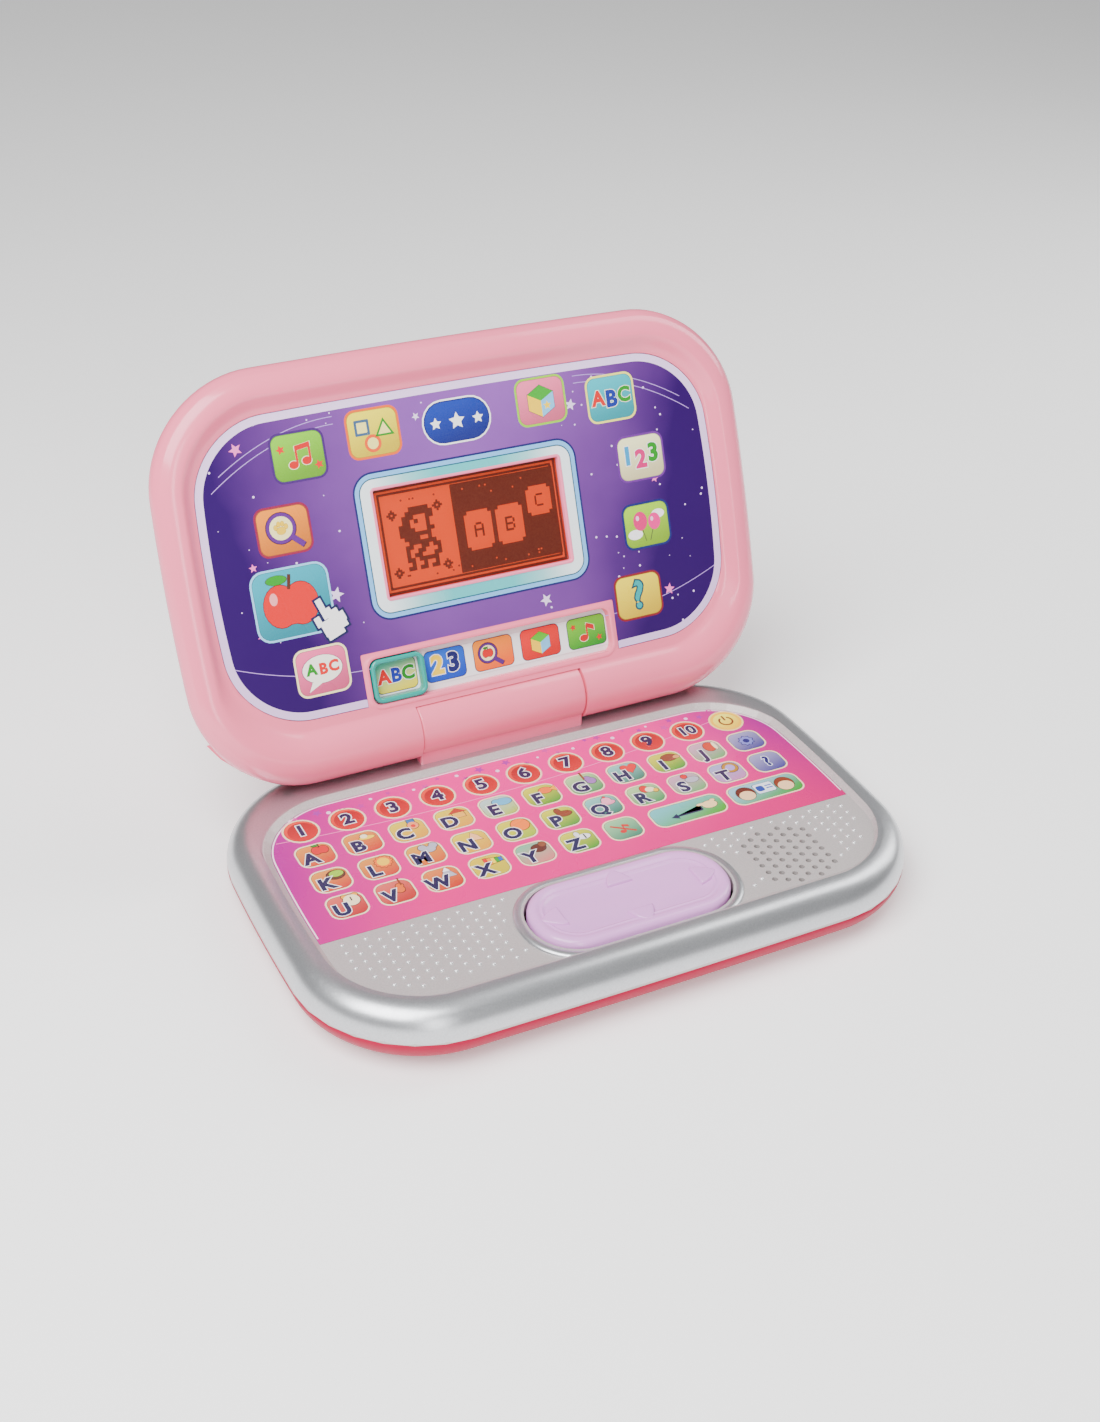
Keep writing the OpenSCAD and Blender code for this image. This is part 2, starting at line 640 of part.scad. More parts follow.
// Liquid crystal glass
module lcd_module() color([0.92, 0.37, 0.14]) on_lid()
  plate(0, lcd_y, lens_w - 2, lens_d - 2, face_h - lens_t - glass_t, face_h - lens_t);

// Orange reflector behind the glass
module lcd_reflector() color([0.95, 0.5, 0.2]) on_lid()
  plate(0, lcd_y, lens_w - 2, lens_d - 10, face_h - lens_t - glass_t - mirror_t,
    face_h - lens_t - glass_t);

// Striped rubber strips that join the glass to the lid's board
module lcd_contact_strip() color([0.2, 0.2, 0.22]) on_lid() for (s = [-1, 1])
  plate(0, lcd_y + s * (lens_d / 2 - 3), lens_w - 8, 2.4, lid_board_h,
    face_h - lens_t - glass_t);

// Board behind the screen
module lid_pcb() color([0.15, 0.4, 0.2]) on_lid() difference() {
  plate(0, lcd_y, lens_w + 13, lens_d + 12, lid_board_h - lid_board_t, lid_board_h);
  for (p = lid_board_screw_points()) lid_peg(p, 1.2, lid_board_h - 3, lid_board_h + 1);
}

// Screws that hold the lid's board and press the screen forwards
module lid_board_screws() color([0.6, 0.6, 0.62]) on_lid() for (p = lid_board_screw_points()) {
  lid_peg(p, 1, lid_board_h - lid_board_t - eps, face_h - 1);
  lid_peg(p, 2.2, lid_board_h - lid_board_t - 1.4, lid_board_h - lid_board_t);
}

// Contact board that the slider's wiper runs along
module picker_contact_board() color([0.2, 0.45, 0.25]) on_lid()
  plate(0, picker_y, slider_travel + leg_l + 2, 2 * leg_y - 0.6, pocket_h - 5.2, pocket_h - 4.2);

// Hollow hinge pins, held in the lid's knuckles
module hinge_pin(s) on_lid() difference() {
  rod_x(pin_r, s > 0 ? pin_in : -pin_out, s > 0 ? pin_out : -pin_in);
  rod_x(pin_bore_r, -pin_out - 1, pin_out + 1);
}
module hinge_pin_left() color([0.85, 0.85, 0.86]) hinge_pin(-1);
module hinge_pin_right() color([0.85, 0.85, 0.86]) hinge_pin(1);

// Screws through the back of the lid
module lid_case_screws() color([0.6, 0.6, 0.62]) on_lid() for (p = lid_screws) {
  lid_peg(p, screw_r, -back_h + 4 - eps, face_h - 1);
  lid_peg(p, screw_head_r, -back_h + 4 - screw_head_h, -back_h + 4);
}

// Wires from the hollow pin to the lid's board
module cable_lid_run() color([0.2, 0.2, 0.22]) on_lid() {
  rod_x(wire_r, pin_in - 1 + gap, pin_out + 3);
  translate([pin_out + 3, 0, 0]) sphere(r = wire_r);
  translate([pin_out + 3, 0, 0]) rotate([-90, 0, 0])
    cylinder(r = wire_r, h = lcd_y - (lens_d + 12) / 2);
}

// Turquoise frame that slides along the picture strip
module mode_slider() color([0.24, 0.73, 0.69]) on_lid()
  translate([-slider_travel / 2, picker_y, 0]) {
    difference() {
      hull() {
        plate(0, 0, slider_w, slider_d, pocket_h + 0.6, label_h + slider_proud - 0.6);
        plate(0, 0, slider_w - 1, slider_d - 1, pocket_h + 0.6, label_h + slider_proud);
      }
      plate(0, 0, slider_w - 4.6, slider_d - 4.6, pocket_h, crest_h);
    }
    for (s = [-1, 1]) {
      plate(0, s * leg_y, leg_l, leg_t, pocket_h - 2.9, pocket_h + 0.7);
      plate(0, s * (leg_y - 0.9), leg_l, leg_t + 1.8, pocket_h - 2.9, pocket_h - 1.9);
    }
  }

// Sprung metal wiper under the slider's legs
module slider_contact_wiper() color([0.8, 0.7, 0.4]) on_lid()
  translate([-slider_travel / 2, picker_y, 0]) {
    plate(0, 0, leg_l, 2 * leg_y, pocket_h - 3.2, pocket_h - 2.9);
    for (s = [-1, 1]) plate(s * 3, 0, 1.5, 10, pocket_h - 3.8, pocket_h - 3.2);
  }

// Post with a domed tip that the pad rocks on
module pad_pivot_post() color([0.9, 0.9, 0.88]) {
  peg([0, pad_y], 4.5, board_z + 0.4, board_z + 1.2);
  peg([0, pad_y], 2.5, board_z + 1.1, pivot_z);
  translate([0, hinge_y - pad_y, pivot_z]) sphere(r = 2.5);
}

// Lilac cursor pad: skirt, flange, sunken face and four raised arrows
module cursor_pad() color([0.85, 0.7, 0.86]) {
  difference() {
    union() {
      hull() {
        slice(pad_ring(0), flange_z - 0.1);
        slice(pad_ring(0), pad_top - 2);
        slice(pad_ring(-0.7), pad_top - 0.6);
        slice(pad_ring(-2), pad_top - thin);
      }
      slab(pad_ring(pad_flange), flange_z - 1, flange_z);
    }
    slab(pad_ring(-5), pad_top - 1.3, pad_top + 1);
    slab(pad_ring(-2), flange_z - 2, pad_top - 3.5);
  }
  for (p = dome_points()) peg(p, 2.2, board_z + 4.3, pad_top - 3.4);
  difference() {
    peg([0, pad_y], 5, pivot_z - 0.6, pad_top - 3.4);
    peg([0, pad_y], 2.8, pivot_z - 1, pivot_z + 2.8);
  }
  for (q = [0:3]) translate([0, hinge_y - pad_y, pad_top - 1.4]) rotate([0, 0, 90 * q])
    translate([(q % 2 == 0 ? pad_w : pad_d) / 2 - 6, 0, 0]) linear_extrude(1)
      polygon([[0, -1], [0, 1], [-1.5, 5], [-7, 4], [-7, -4], [-1.5, -5]]);
}

// Door over the battery bay, with hooks at its front edge and a screw tab behind
module battery_cover() color([0.82, 0.33, 0.5]) difference() {
  union() {
    translate([-door_w / 2, hinge_y - door_edge + 1, foot_h])
      cube([door_w, door_d + door_gap - 1, door_t]);
    peg(door_screw, door_tab_r, foot_h, foot_h + door_t);
    for (s = [-1, 1]) plate(s * door_w / 4, hinge_y - door_edge + 0.5, 8, 3,
      foot_h + 0.8, foot_h + door_t);
  }
  peg(door_screw, screw_r, foot_h - 1, foot_h + door_t + 1);
  peg(door_screw, screw_head_r, foot_h - 1, foot_h + door_t - 0.5);
}

// Captive screw of the battery door
module battery_cover_screw() color([0.6, 0.6, 0.62]) {
  peg(door_screw, screw_head_r, foot_h, foot_h + door_t - 0.5);
  peg(door_screw, screw_r, foot_h + door_t - 0.5 - eps, foot_h + door_t + 2);
}

base_bottom_shell();
base_top_shell();
keyboard_overlay();
keyboard_membrane();
hinge_centre_cover();
hinge_bracket();
bracket_screws();
rubber_keypad();
keypad_pcb();
main_pcb();
board_screws();
speaker();
speaker_gasket();
battery_contacts();
batteries();
rubber_feet();
base_case_screws();
cable_base_run();
lid_front_shell();
lid_back_shell();
lid_artwork_panel();
picker_picture_strip();
lcd_window();
lcd_module();
lcd_reflector();
lcd_contact_strip();
lid_pcb();
lid_board_screws();
picker_contact_board();
hinge_pin_left();
hinge_pin_right();
lid_case_screws();
cable_lid_run();
mode_slider();
slider_contact_wiper();
pad_pivot_post();
cursor_pad();
battery_cover();
battery_cover_screw();
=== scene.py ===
import json
import math

import bmesh
import bpy
import numpy as np
from mathutils import Matrix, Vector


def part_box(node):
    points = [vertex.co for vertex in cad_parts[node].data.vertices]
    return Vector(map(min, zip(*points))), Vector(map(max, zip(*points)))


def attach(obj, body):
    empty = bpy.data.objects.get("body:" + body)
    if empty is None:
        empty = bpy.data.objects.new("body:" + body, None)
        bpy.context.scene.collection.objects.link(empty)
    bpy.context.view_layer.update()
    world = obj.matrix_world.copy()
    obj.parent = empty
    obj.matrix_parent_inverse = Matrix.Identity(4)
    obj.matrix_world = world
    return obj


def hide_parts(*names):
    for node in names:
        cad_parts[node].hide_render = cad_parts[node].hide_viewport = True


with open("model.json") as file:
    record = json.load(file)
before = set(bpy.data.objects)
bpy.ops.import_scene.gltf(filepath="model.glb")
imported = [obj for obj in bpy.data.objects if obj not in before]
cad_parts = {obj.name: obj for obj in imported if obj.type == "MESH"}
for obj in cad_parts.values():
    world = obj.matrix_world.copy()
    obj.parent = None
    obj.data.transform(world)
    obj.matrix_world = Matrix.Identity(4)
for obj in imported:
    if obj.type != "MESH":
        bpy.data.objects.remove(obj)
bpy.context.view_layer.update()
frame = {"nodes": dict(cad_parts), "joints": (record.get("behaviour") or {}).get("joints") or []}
joints = {j["name"]: j for j in frame["joints"]}
hinge_y, hinge_z = (1000 * v for v in joints["lid_hinge"]["pos_m"][1:])
lean = math.pi - math.radians(joints["lid_hinge"]["range_deg"][1])


# ---------------------------------------------------------------- Lower shell
# The tray that the toy stands on: rose-pink ABS, moulded with a polished skin.
# It curves in under the toy and six screws from below hold it to the rim.

def outline(hw, y0, y1, r, bow_x=0.0, bow_y=0.0, corner=20, side=12):
    """Rounded rectangles with bowed sides, one row for each set of sizes. A corner point is the
    corner's centre plus r times (cos, sin) of a quarter turn's share, a side point is a share of
    the way to the next corner, and each side then swells by its bow times one minus the square
    of the distance from its middle."""
    hw, y0, y1, r = (v[:, None] for v in np.broadcast_arrays(
        *(np.atleast_1d(np.asarray(v, float)) for v in (hw, y0, y1, r))))
    hx, hy, mid = hw - bow_x, (y1 - y0) / 2 - bow_y, (y0 + y1) / 2
    q = np.repeat(np.arange(4), corner + side)
    k = np.tile(np.arange(corner + side), 4)
    turn = (np.minimum(k / corner, 1) + q) * math.pi / 2
    along = np.maximum(k - corner, 0) / side
    sx, sy = np.array([1, -1, -1, 1, 1]), np.array([1, 1, -1, -1, 1])
    x = (hx - r) * (sx[q] * (1 - along) + sx[q + 1] * along) + r * np.cos(turn)
    y = (hy - r) * (sy[q] * (1 - along) + sy[q + 1] * along) + r * np.sin(turn)
    return np.stack([x + bow_x * np.sign(x) * (1 - (y / hy) ** 2),
                     mid + y + bow_y * np.sign(y) * (1 - (x / hx) ** 2)], -1)


def quarter(count, n):
    """Quarter of a superellipse: (cos t)^(2/n) and (sin t)^(2/n) for t from 0 to a right angle."""
    t = np.linspace(0, math.pi / 2, count)
    return np.cos(t) ** (2 / n), np.sin(t) ** (2 / n)


def raised(rows, height):
    """Rows of plan points lifted to a height each."""
    z = np.broadcast_to(np.reshape(height, (-1, 1)), rows.shape[:2])
    return np.concatenate([rows, z[..., None]], -1)


def on_body(mesh, name, material, body, smooth=35):
    """Makes the object for a finished mesh, smooth but for edges sharper than an angle."""
    mesh.materials.append(material)
    mesh.shade_smooth()
    mesh.set_sharp_from_angle(angle=math.radians(smooth))
    piece = bpy.data.objects.new(name, mesh)
    bpy.context.scene.collection.objects.link(piece)
    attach(piece, body)
    return piece


def skin(name, grid, material, body, through=False, first=None, last=None, skip=None,
         extra=None, smooth=35):
    """Closed skin over a grid of points in mm. Columns join round, rows join too if through; an
    end row is closed by a "fan" to its middle or by one flat "face". skip leaves quads out, and
    extra adds points after the grid's and faces on any of them."""
    grid = np.asarray(grid, float)
    rows, cols = grid.shape[:2]
    r = np.arange(rows if through else rows - 1)[:, None]
    c = np.arange(cols)[None, :]
    up, on = (r + 1) % rows, (c + 1) % cols
    quads = np.stack([r * cols + c, r * cols + on, up * cols + on, up * cols + c], -1)
    quads = quads.reshape(-1, 4) if skip is None else quads[~skip]
    points = grid.reshape(-1, 3)
    faces = quads.tolist()
    for end, row in ((first, 0), (last, rows - 1)):
        ring = (row * cols + np.arange(cols)).tolist()
        ring = ring[::-1] if row == 0 else ring
        if end == "face":
            faces.append(ring)
        elif end == "fan":
            faces += [[a, b, len(points)] for a, b in zip(ring, ring[1:] + ring[:1])]
            points = np.vstack([points, grid[row].mean(0)])
    if extra:
        points, faces = np.vstack([points, extra[0]]), faces + extra[1]
    mesh = bpy.data.meshes.new(name)
    mesh.from_pydata((points / 1000).tolist(), [], faces)
    work = bmesh.new()
    work.from_mesh(mesh)
    bmesh.ops.delete(work, geom=[v for v in work.verts if not v.link_faces], context="VERTS")
    bmesh.ops.recalc_face_normals(work, faces=work.faces)
    work.to_mesh(mesh)
    work.free()
    return on_body(mesh, name, material, body, smooth)


def tint(r, g, b, a=1.0):
    """Linear colour from eight-bit values, mixed a little stronger than quoted, because the
    soft light of a studio washes pigments out: a power of 1.4 deepens it, and then it moves
    away from its own grey by 10 %."""
    v = np.array([r, g, b]) / 255
    v = np.where(v <= 0.04045, v / 12.92, ((v + 0.055) / 1.055) ** 2.4)
    v = v ** 1.4
    grey = v @ [0.25, 0.6, 0.15]
    return (*np.clip(grey + (v - grey) * 1.1, 0.002, 0.93).tolist(), a)


class Wire:
    """An output socket in a material. Arithmetic on it adds Math nodes and make() adds others."""

    def __init__(self, tree, socket):
        self.tree, self.socket = tree, socket

    def make(self, kind, settings=None, inputs=None, out=0):
        node = self.tree.nodes.new("ShaderNode" + kind)
        for key, value in (settings or {}).items():
            if key == "stops":
                while len(node.color_ramp.elements) < len(value):
                    node.color_ramp.elements.new(0.5)
                for element, (at, colour) in zip(node.color_ramp.elements, value):
                    element.position, element.color = at, colour
            else:
                setattr(node, key, value)
        for key, value in (inputs or {}).items():
            if isinstance(value, Wire):
                self.tree.links.new(value.socket, node.inputs[key])
            else:
                node.inputs[key].default_value = value
        return Wire(self.tree, node.outputs[out])

    def maths(self, kind, *values):
        return self.make("Math", {"operation": kind}, dict(enumerate(values)))

    def clamp(self):
        return self.make("Clamp", None, {"Value": self})

    def blend(self, a, b):
        """Colour a where this is 0, colour b where it is 1."""
        return self.make("Mix", {"data_type": "RGBA"}, {"Factor": self, 6: a, 7: b}, 2)

    def noise(self, scale, detail=2.0, rough=0.5):
        return self.make("TexNoise", None, {"Vector": self, "Scale": scale, "Detail": detail,
                                            "Roughness": rough})

    def __add__(self, v): return self.maths("ADD", self, v)
    def __radd__(self, v): return self.maths("ADD", v, self)
    def __sub__(self, v): return self.maths("SUBTRACT", self, v)
    def __rsub__(self, v): return self.maths("SUBTRACT", v, self)
    def __mul__(self, v): return self.maths("MULTIPLY", self, v)
    def __rmul__(self, v): return self.maths("MULTIPLY", v, self)


def finish_of(name, colour, rough=0.3, **sockets):
    """A new material: its shader node, and the Object coordinates to make patterns from. Colour
    and roughness may be wires; the shader's other sockets take plain numbers."""
    material = bpy.data.materials.new(name)
    material.use_nodes = True
    tree = material.node_tree
    shader = next(n for n in tree.nodes if n.type == "BSDF_PRINCIPLED")
    place = Wire(tree, tree.nodes.new("ShaderNodeTexCoord").outputs["Object"])
    found = {"Base Color": colour(place) if callable(colour) else colour,
             "Roughness": rough(place) if callable(rough) else rough}
    for key, value in {**found, **sockets}.items():
        value = value(place) if callable(value) else value
        if isinstance(value, Wire):
            tree.links.new(value.socket, shader.inputs[key])
        else:
            shader.inputs[key].default_value = value
    return material


def grained(strength, scale, detail=2.0, depth=0.0004):
    """Fine moulded or painted grain as a bump."""
    return lambda p: p.make("Bump", None, {"Strength": strength, "Distance": depth,
                                           "Height": p.noise(scale, detail)})


def moulded(name, rgb, rough=0.24, coat=0.5, drift=0.07, grain=0.05, **more):
    """Moulded plastic: the pigment drifts a little in shade over the part, the polish wears
    unevenly and the skin has a faint orange peel under a clear gloss."""
    base = tint(*rgb)
    dark = tuple(v * (1 - drift) for v in base[:3]) + (1.0,)
    pale = tuple(min(1, v * (1 + drift)) for v in base[:3]) + (1.0,)
    return finish_of(
        name, lambda p: p.noise(9, 3).blend(dark, pale),
        lambda p: p.noise(60, 4) * 0.12 + (rough - 0.06),
        Normal=grained(grain, 900), **{"Coat Weight": coat, "Coat Roughness": 0.08,
                                       "Specular IOR Level": 0.35, **more})


rose = moulded("rose_abs", (184, 24, 92), 0.42, 0.03, **{"Specular IOR Level": 0.12})
base_hw, base_front, base_back, base_r = 132.5, hinge_y - 158.5, hinge_y + 13.3, 48.0


def base_rows(inset):
    """The base's outline, drawn in by each inset."""
    inset = np.asarray(inset, float)
    return outline(base_hw - inset, base_front + inset, base_back - inset, base_r - inset, 3.5, 1.5)


c, s = quarter(22, 1.9)
inset, height = 16 * (1 - c), 15 - 13.5 * s
inset = np.r_[1.2, inset[0] + 0.3, inset[1:] - 0.05, 17.0, 17.0]
height = np.r_[14.6, 14.9, height[1:], 1.5, 2.2]
skin("rose_shell_skin", raised(base_rows(inset), height), rose, "base", through=True)
frame["nodes"]["base_bottom_shell"].data.materials[0] = rose

# ---------------------------------------------------------------- Upper shell
# The rim and the sunken deck, one ABS moulding sprayed with pearly silver. A satin coat over
# fine flake; the deck between the pips is matt and a little warmer than the rim.

def pearl(name, dark, pale, rough, metal, grain):
    """Silver spray paint: shade and roughness flicker with the flake."""
    return finish_of(
        name, lambda p: (p.noise(1500, 1) * 0.6 + p.noise(14, 2) * 0.4).blend(tint(*dark), tint(*pale)),
        lambda p: p.noise(700, 2) * 0.12 + (rough - 0.06),
        Metallic=metal, Normal=grained(grain, 1800, 1),
        **{"Coat Weight": 0.35, "Coat Roughness": 0.25})


silver = pearl("silver_paint_rim", (192, 194, 197), (226, 227, 229), 0.34, 0.85, 0.025)
deck_paint = pearl("silver_paint_deck", (180, 174, 173), (218, 213, 212), 0.5, 0.3, 0.12)
deck_z, rim_z = 26.0, 28.06


def recess_rows(inset):
    """The deck's outline, drawn in by each inset."""
    inset = np.asarray(inset, float)
    return outline(118.2 - inset, hinge_y - 143 + inset, hinge_y - 15.5 - inset, 30 - inset, 3, 0.8)


c, s = quarter(22, 2.4)
outer = raised(base_rows(np.r_[1.2, 0.25, 12 * (1 - c[1:]) - 0.04]),
               np.r_[15.4, 15.12, 15 + 13 * s[1:] + 0.06])
share = np.linspace(0, 1, 6)[1:-1, None, None]
inner_top = raised(recess_rows([-3.1]), [rim_z])
crest = outer[-1:] * (1 - share) + inner_top * share
t = np.linspace(0, 1, 11)
slope = raised(recess_rows(-3.1 + 3.35 * t),
               deck_z - 0.08 + (rim_z - deck_z + 0.08) * (0.5 + 0.5 * np.cos(math.pi * t ** 0.9)))
under = raised(recess_rows([0.25, -4.0]), [25.0, 24.2])
skin("silver_rim", np.concatenate([outer, crest, slope, under]), silver, "base",
     through=True)
frame["nodes"]["base_top_shell"].data.materials[0] = deck_paint

# ---------------------------------------------------------------- Deck pips
# Small raised domes moulded in the deck to the left of the pad and round the grille, on the
# grille's own staggered grid. Their silver is paler and glossier than the deck's, a painted
# highlight for the light that catches the domes.

pitch, grille_x, grille_y = 4.7, 73.0, hinge_y - 124
i, j = (v.ravel() for v in np.meshgrid(np.arange(-42, 11), np.arange(-10, 11)))
spot = np.stack([grille_x + pitch * i, grille_y + pitch * (j + 0.5 * (i % 2))], -1)
deck_edge = recess_rows([5.5])[0]
ahead = np.roll(deck_edge, -1, 0) - deck_edge
inside = (ahead[None, :, 0] * (spot[:, None, 1] - deck_edge[None, :, 1])
          - ahead[None, :, 1] * (spot[:, None, 0] - deck_edge[None, :, 0]) > 0).all(1)
from_pad = np.hypot(np.maximum(np.abs(spot[:, 0]) - 24, 0), np.maximum(np.abs(spot[:, 1] - grille_y) - 1, 0))
keep = (inside & (spot[:, 1] < hinge_y - 102.5) & (from_pad > 18 + 1.1 + 4.2 + 3.0)
        & (np.hypot(spot[:, 0] - grille_x, spot[:, 1] - grille_y) > 19.6))
spot = spot[keep]
ring_r, ring_h, sides = np.array([1.0, 0.86, 0.5]), np.array([-0.05, 0.34, 0.62]), 10
a = np.arange(sides) * 2 * math.pi / sides
dome = np.stack([ring_r[:, None] * np.cos(a), ring_r[:, None] * np.sin(a),
                 np.broadcast_to(ring_h[:, None], (3, sides))], -1).reshape(-1, 3)
dome = np.vstack([dome, [0, 0, 0.7]])
one = [[k * sides + m, k * sides + (m + 1) % sides, (k + 1) * sides + (m + 1) % sides, (k + 1) * sides + m]
       for k in range(2) for m in range(sides)]
one += [[20 + m, 20 + (m + 1) % sides, 30] for m in range(sides)] + [list(range(sides))[::-1]]
pips = bpy.data.meshes.new("deck_pips")
points = (np.c_[spot, np.full(len(spot), deck_z)][:, None] + dome[None]).reshape(-1, 3)
pips.from_pydata((points / 1000).tolist(), [],
                 [[v + 31 * n for v in f] for n in range(len(spot)) for f in one])
# Pip silver, paler than the deck's: a painted highlight on the domes.
on_body(pips, "deck_pips", pearl("silver_pips_painted_highlight", (206, 206, 208), (248, 248, 248), 0.22, 0.5, 0.02),
        "base",
        60)

# ---------------------------------------------------------------- Pad well lip
# A rounded ring stands up round the pad's well, part of the silver deck and painted with it.

def pad_rows(grow):
    """The pad's outline, drawn out by each amount."""
    grow = np.asarray(grow, float)
    return outline(42 + grow, grille_y - 19 - grow, grille_y + 19 + grow, 18 + grow)


t = np.linspace(0, math.pi, 12)
lip = raised(pad_rows(3.2 + 2.1 * -np.cos(t)), deck_z - 0.1 + 1.5 * np.sin(t) ** 0.8)
skin("pad_well_lip", np.concatenate([raised(pad_rows([5.2, 1.1]), [23.4, 23.4]), lip]), silver, "base",
     through=True)

# ---------------------------------------------------------------- Keyboard sheet
# A printed polyester film that lies flush in the deck over the contact membrane, magenta to
# purple with thirty-nine picture keys, under a clear gloss varnish.

def film(place):
    """Magenta ground that turns purple to the back corners and deep magenta to the right front."""
    at = place.make("SeparateXYZ", None, {"Vector": place})
    x, y = Wire(at.tree, at.socket.node.outputs[0]), Wire(at.tree, at.socket.node.outputs[1])
    back = (y * 1000 - (hinge_y - 99)) * (1 / 84)
    side = x * (1 / 0.118)
    left = ((0 - side - 0.42) * 1.6 + (back - 0.62) * 0.5).clamp()
    right = ((side - 0.66) * 2.6 + (back - 0.6) * 0.8).clamp()
    front = ((side * 0.75 - back * 1.1) + 0.05).clamp()
    ground = (back * 1.05 - 0.1).clamp().blend(tint(228, 58, 152), tint(236, 84, 168))
    ground = (left * 0.85).blend(ground, tint(156, 62, 156))
    ground = (right * 0.8).blend(ground, tint(140, 62, 150))
    return (front * 0.75).blend(ground, tint(206, 24, 128))


def gloss_print(name, colour, rough=0.28, grain=0.04, **more):
    """Print under varnish."""
    return finish_of(name, colour, lambda p: p.noise(40, 3) * 0.1 + (rough - 0.05),
                     Normal=grained(grain, 500), **{"Coat Weight": 0.12, "Coat Roughness": 0.12,
                                                    "Specular IOR Level": 0.3, **more})


frame["nodes"]["keyboard_overlay"].data.materials[0] = gloss_print("keyboard_film", film)
printed = gloss_print("printed_ink", lambda p: (p.noise(2500, 1) * 0.06).blend(
    p.make("Attribute", {"attribute_name": "ink"}), (0.6, 0.6, 0.6, 1)))


def disc(rx, ry=None, n=22):
    """Ellipse: rx cos a, ry sin a."""
    a = np.arange(n) * 2 * math.pi / n
    return np.stack([rx * np.cos(a), (ry or rx) * np.sin(a)], -1)


def box(w, h, r=0.01, n=5):
    """Rounded box."""
    return outline(w / 2, -h / 2, h / 2, r, corner=n, side=1)[0]


def star(r, waist=0.45, tips=5):
    """Star: the radius swings between r and waist times r."""
    a = math.pi / 2 + np.arange(2 * tips) * math.pi / tips
    return np.stack([np.cos(a), np.sin(a)], -1) * np.where(np.arange(2 * tips) % 2, waist * r, r)[:, None]


def heart(r, n=26):
    """Heart: x = sin^3 a, y = the usual four cosines."""
    a = -np.arange(n) * 2 * math.pi / n
    return r / 17 * np.stack([16 * np.sin(a) ** 3, 13 * np.cos(a) - 5 * np.cos(2 * a)
                              - 2 * np.cos(3 * a) - np.cos(4 * a)], -1)


def poly(*points):
    """Outline through given corners, put anticlockwise."""
    p = np.array(points, float)
    q = np.roll(p, -1, 0)
    return p if (p[:, 0] * q[:, 1] - p[:, 1] * q[:, 0]).sum() > 0 else p[::-1]


def strip(points, width):
    """Line of a width along points, with square ends: each point moves half the width both ways
    across the mean direction there."""
    p = np.array(points, float)
    d = np.gradient(p, axis=0)
    across = np.stack([-d[:, 1], d[:, 0]], -1) / np.hypot(*d.T)[:, None] * width / 2
    return np.vstack([p - across, (p + across)[::-1]])


letter_cache = {}


def letters(text, fat=0.0):
    """Built-in letters one unit high as a flat closed prism round their middle."""
    if (text, fat) not in letter_cache:
        curve = bpy.data.curves.new("letters", "FONT")
        curve.body, curve.offset, curve.extrude, curve.resolution_u = text, fat, 0.02, 3
        curve.align_x, curve.align_y = "CENTER", "CENTER"
        maker = bpy.data.objects.new("letters", curve)
        bpy.context.scene.collection.objects.link(maker)
        bpy.context.view_layer.update()
        mesh = bpy.data.meshes.new_from_object(maker.evaluated_get(bpy.context.evaluated_depsgraph_get()))
        points = np.zeros(3 * len(mesh.vertices))
        mesh.vertices.foreach_get("co", points)
        points = points.reshape(-1, 3)
        points[:, 2] = points[:, 2] > 0
        letter_cache[text, fat] = points, [list(f.vertices) for f in mesh.polygons]
        bpy.data.objects.remove(maker)
        bpy.data.curves.remove(curve)
        bpy.data.meshes.remove(mesh)
    return letter_cache[text, fat]


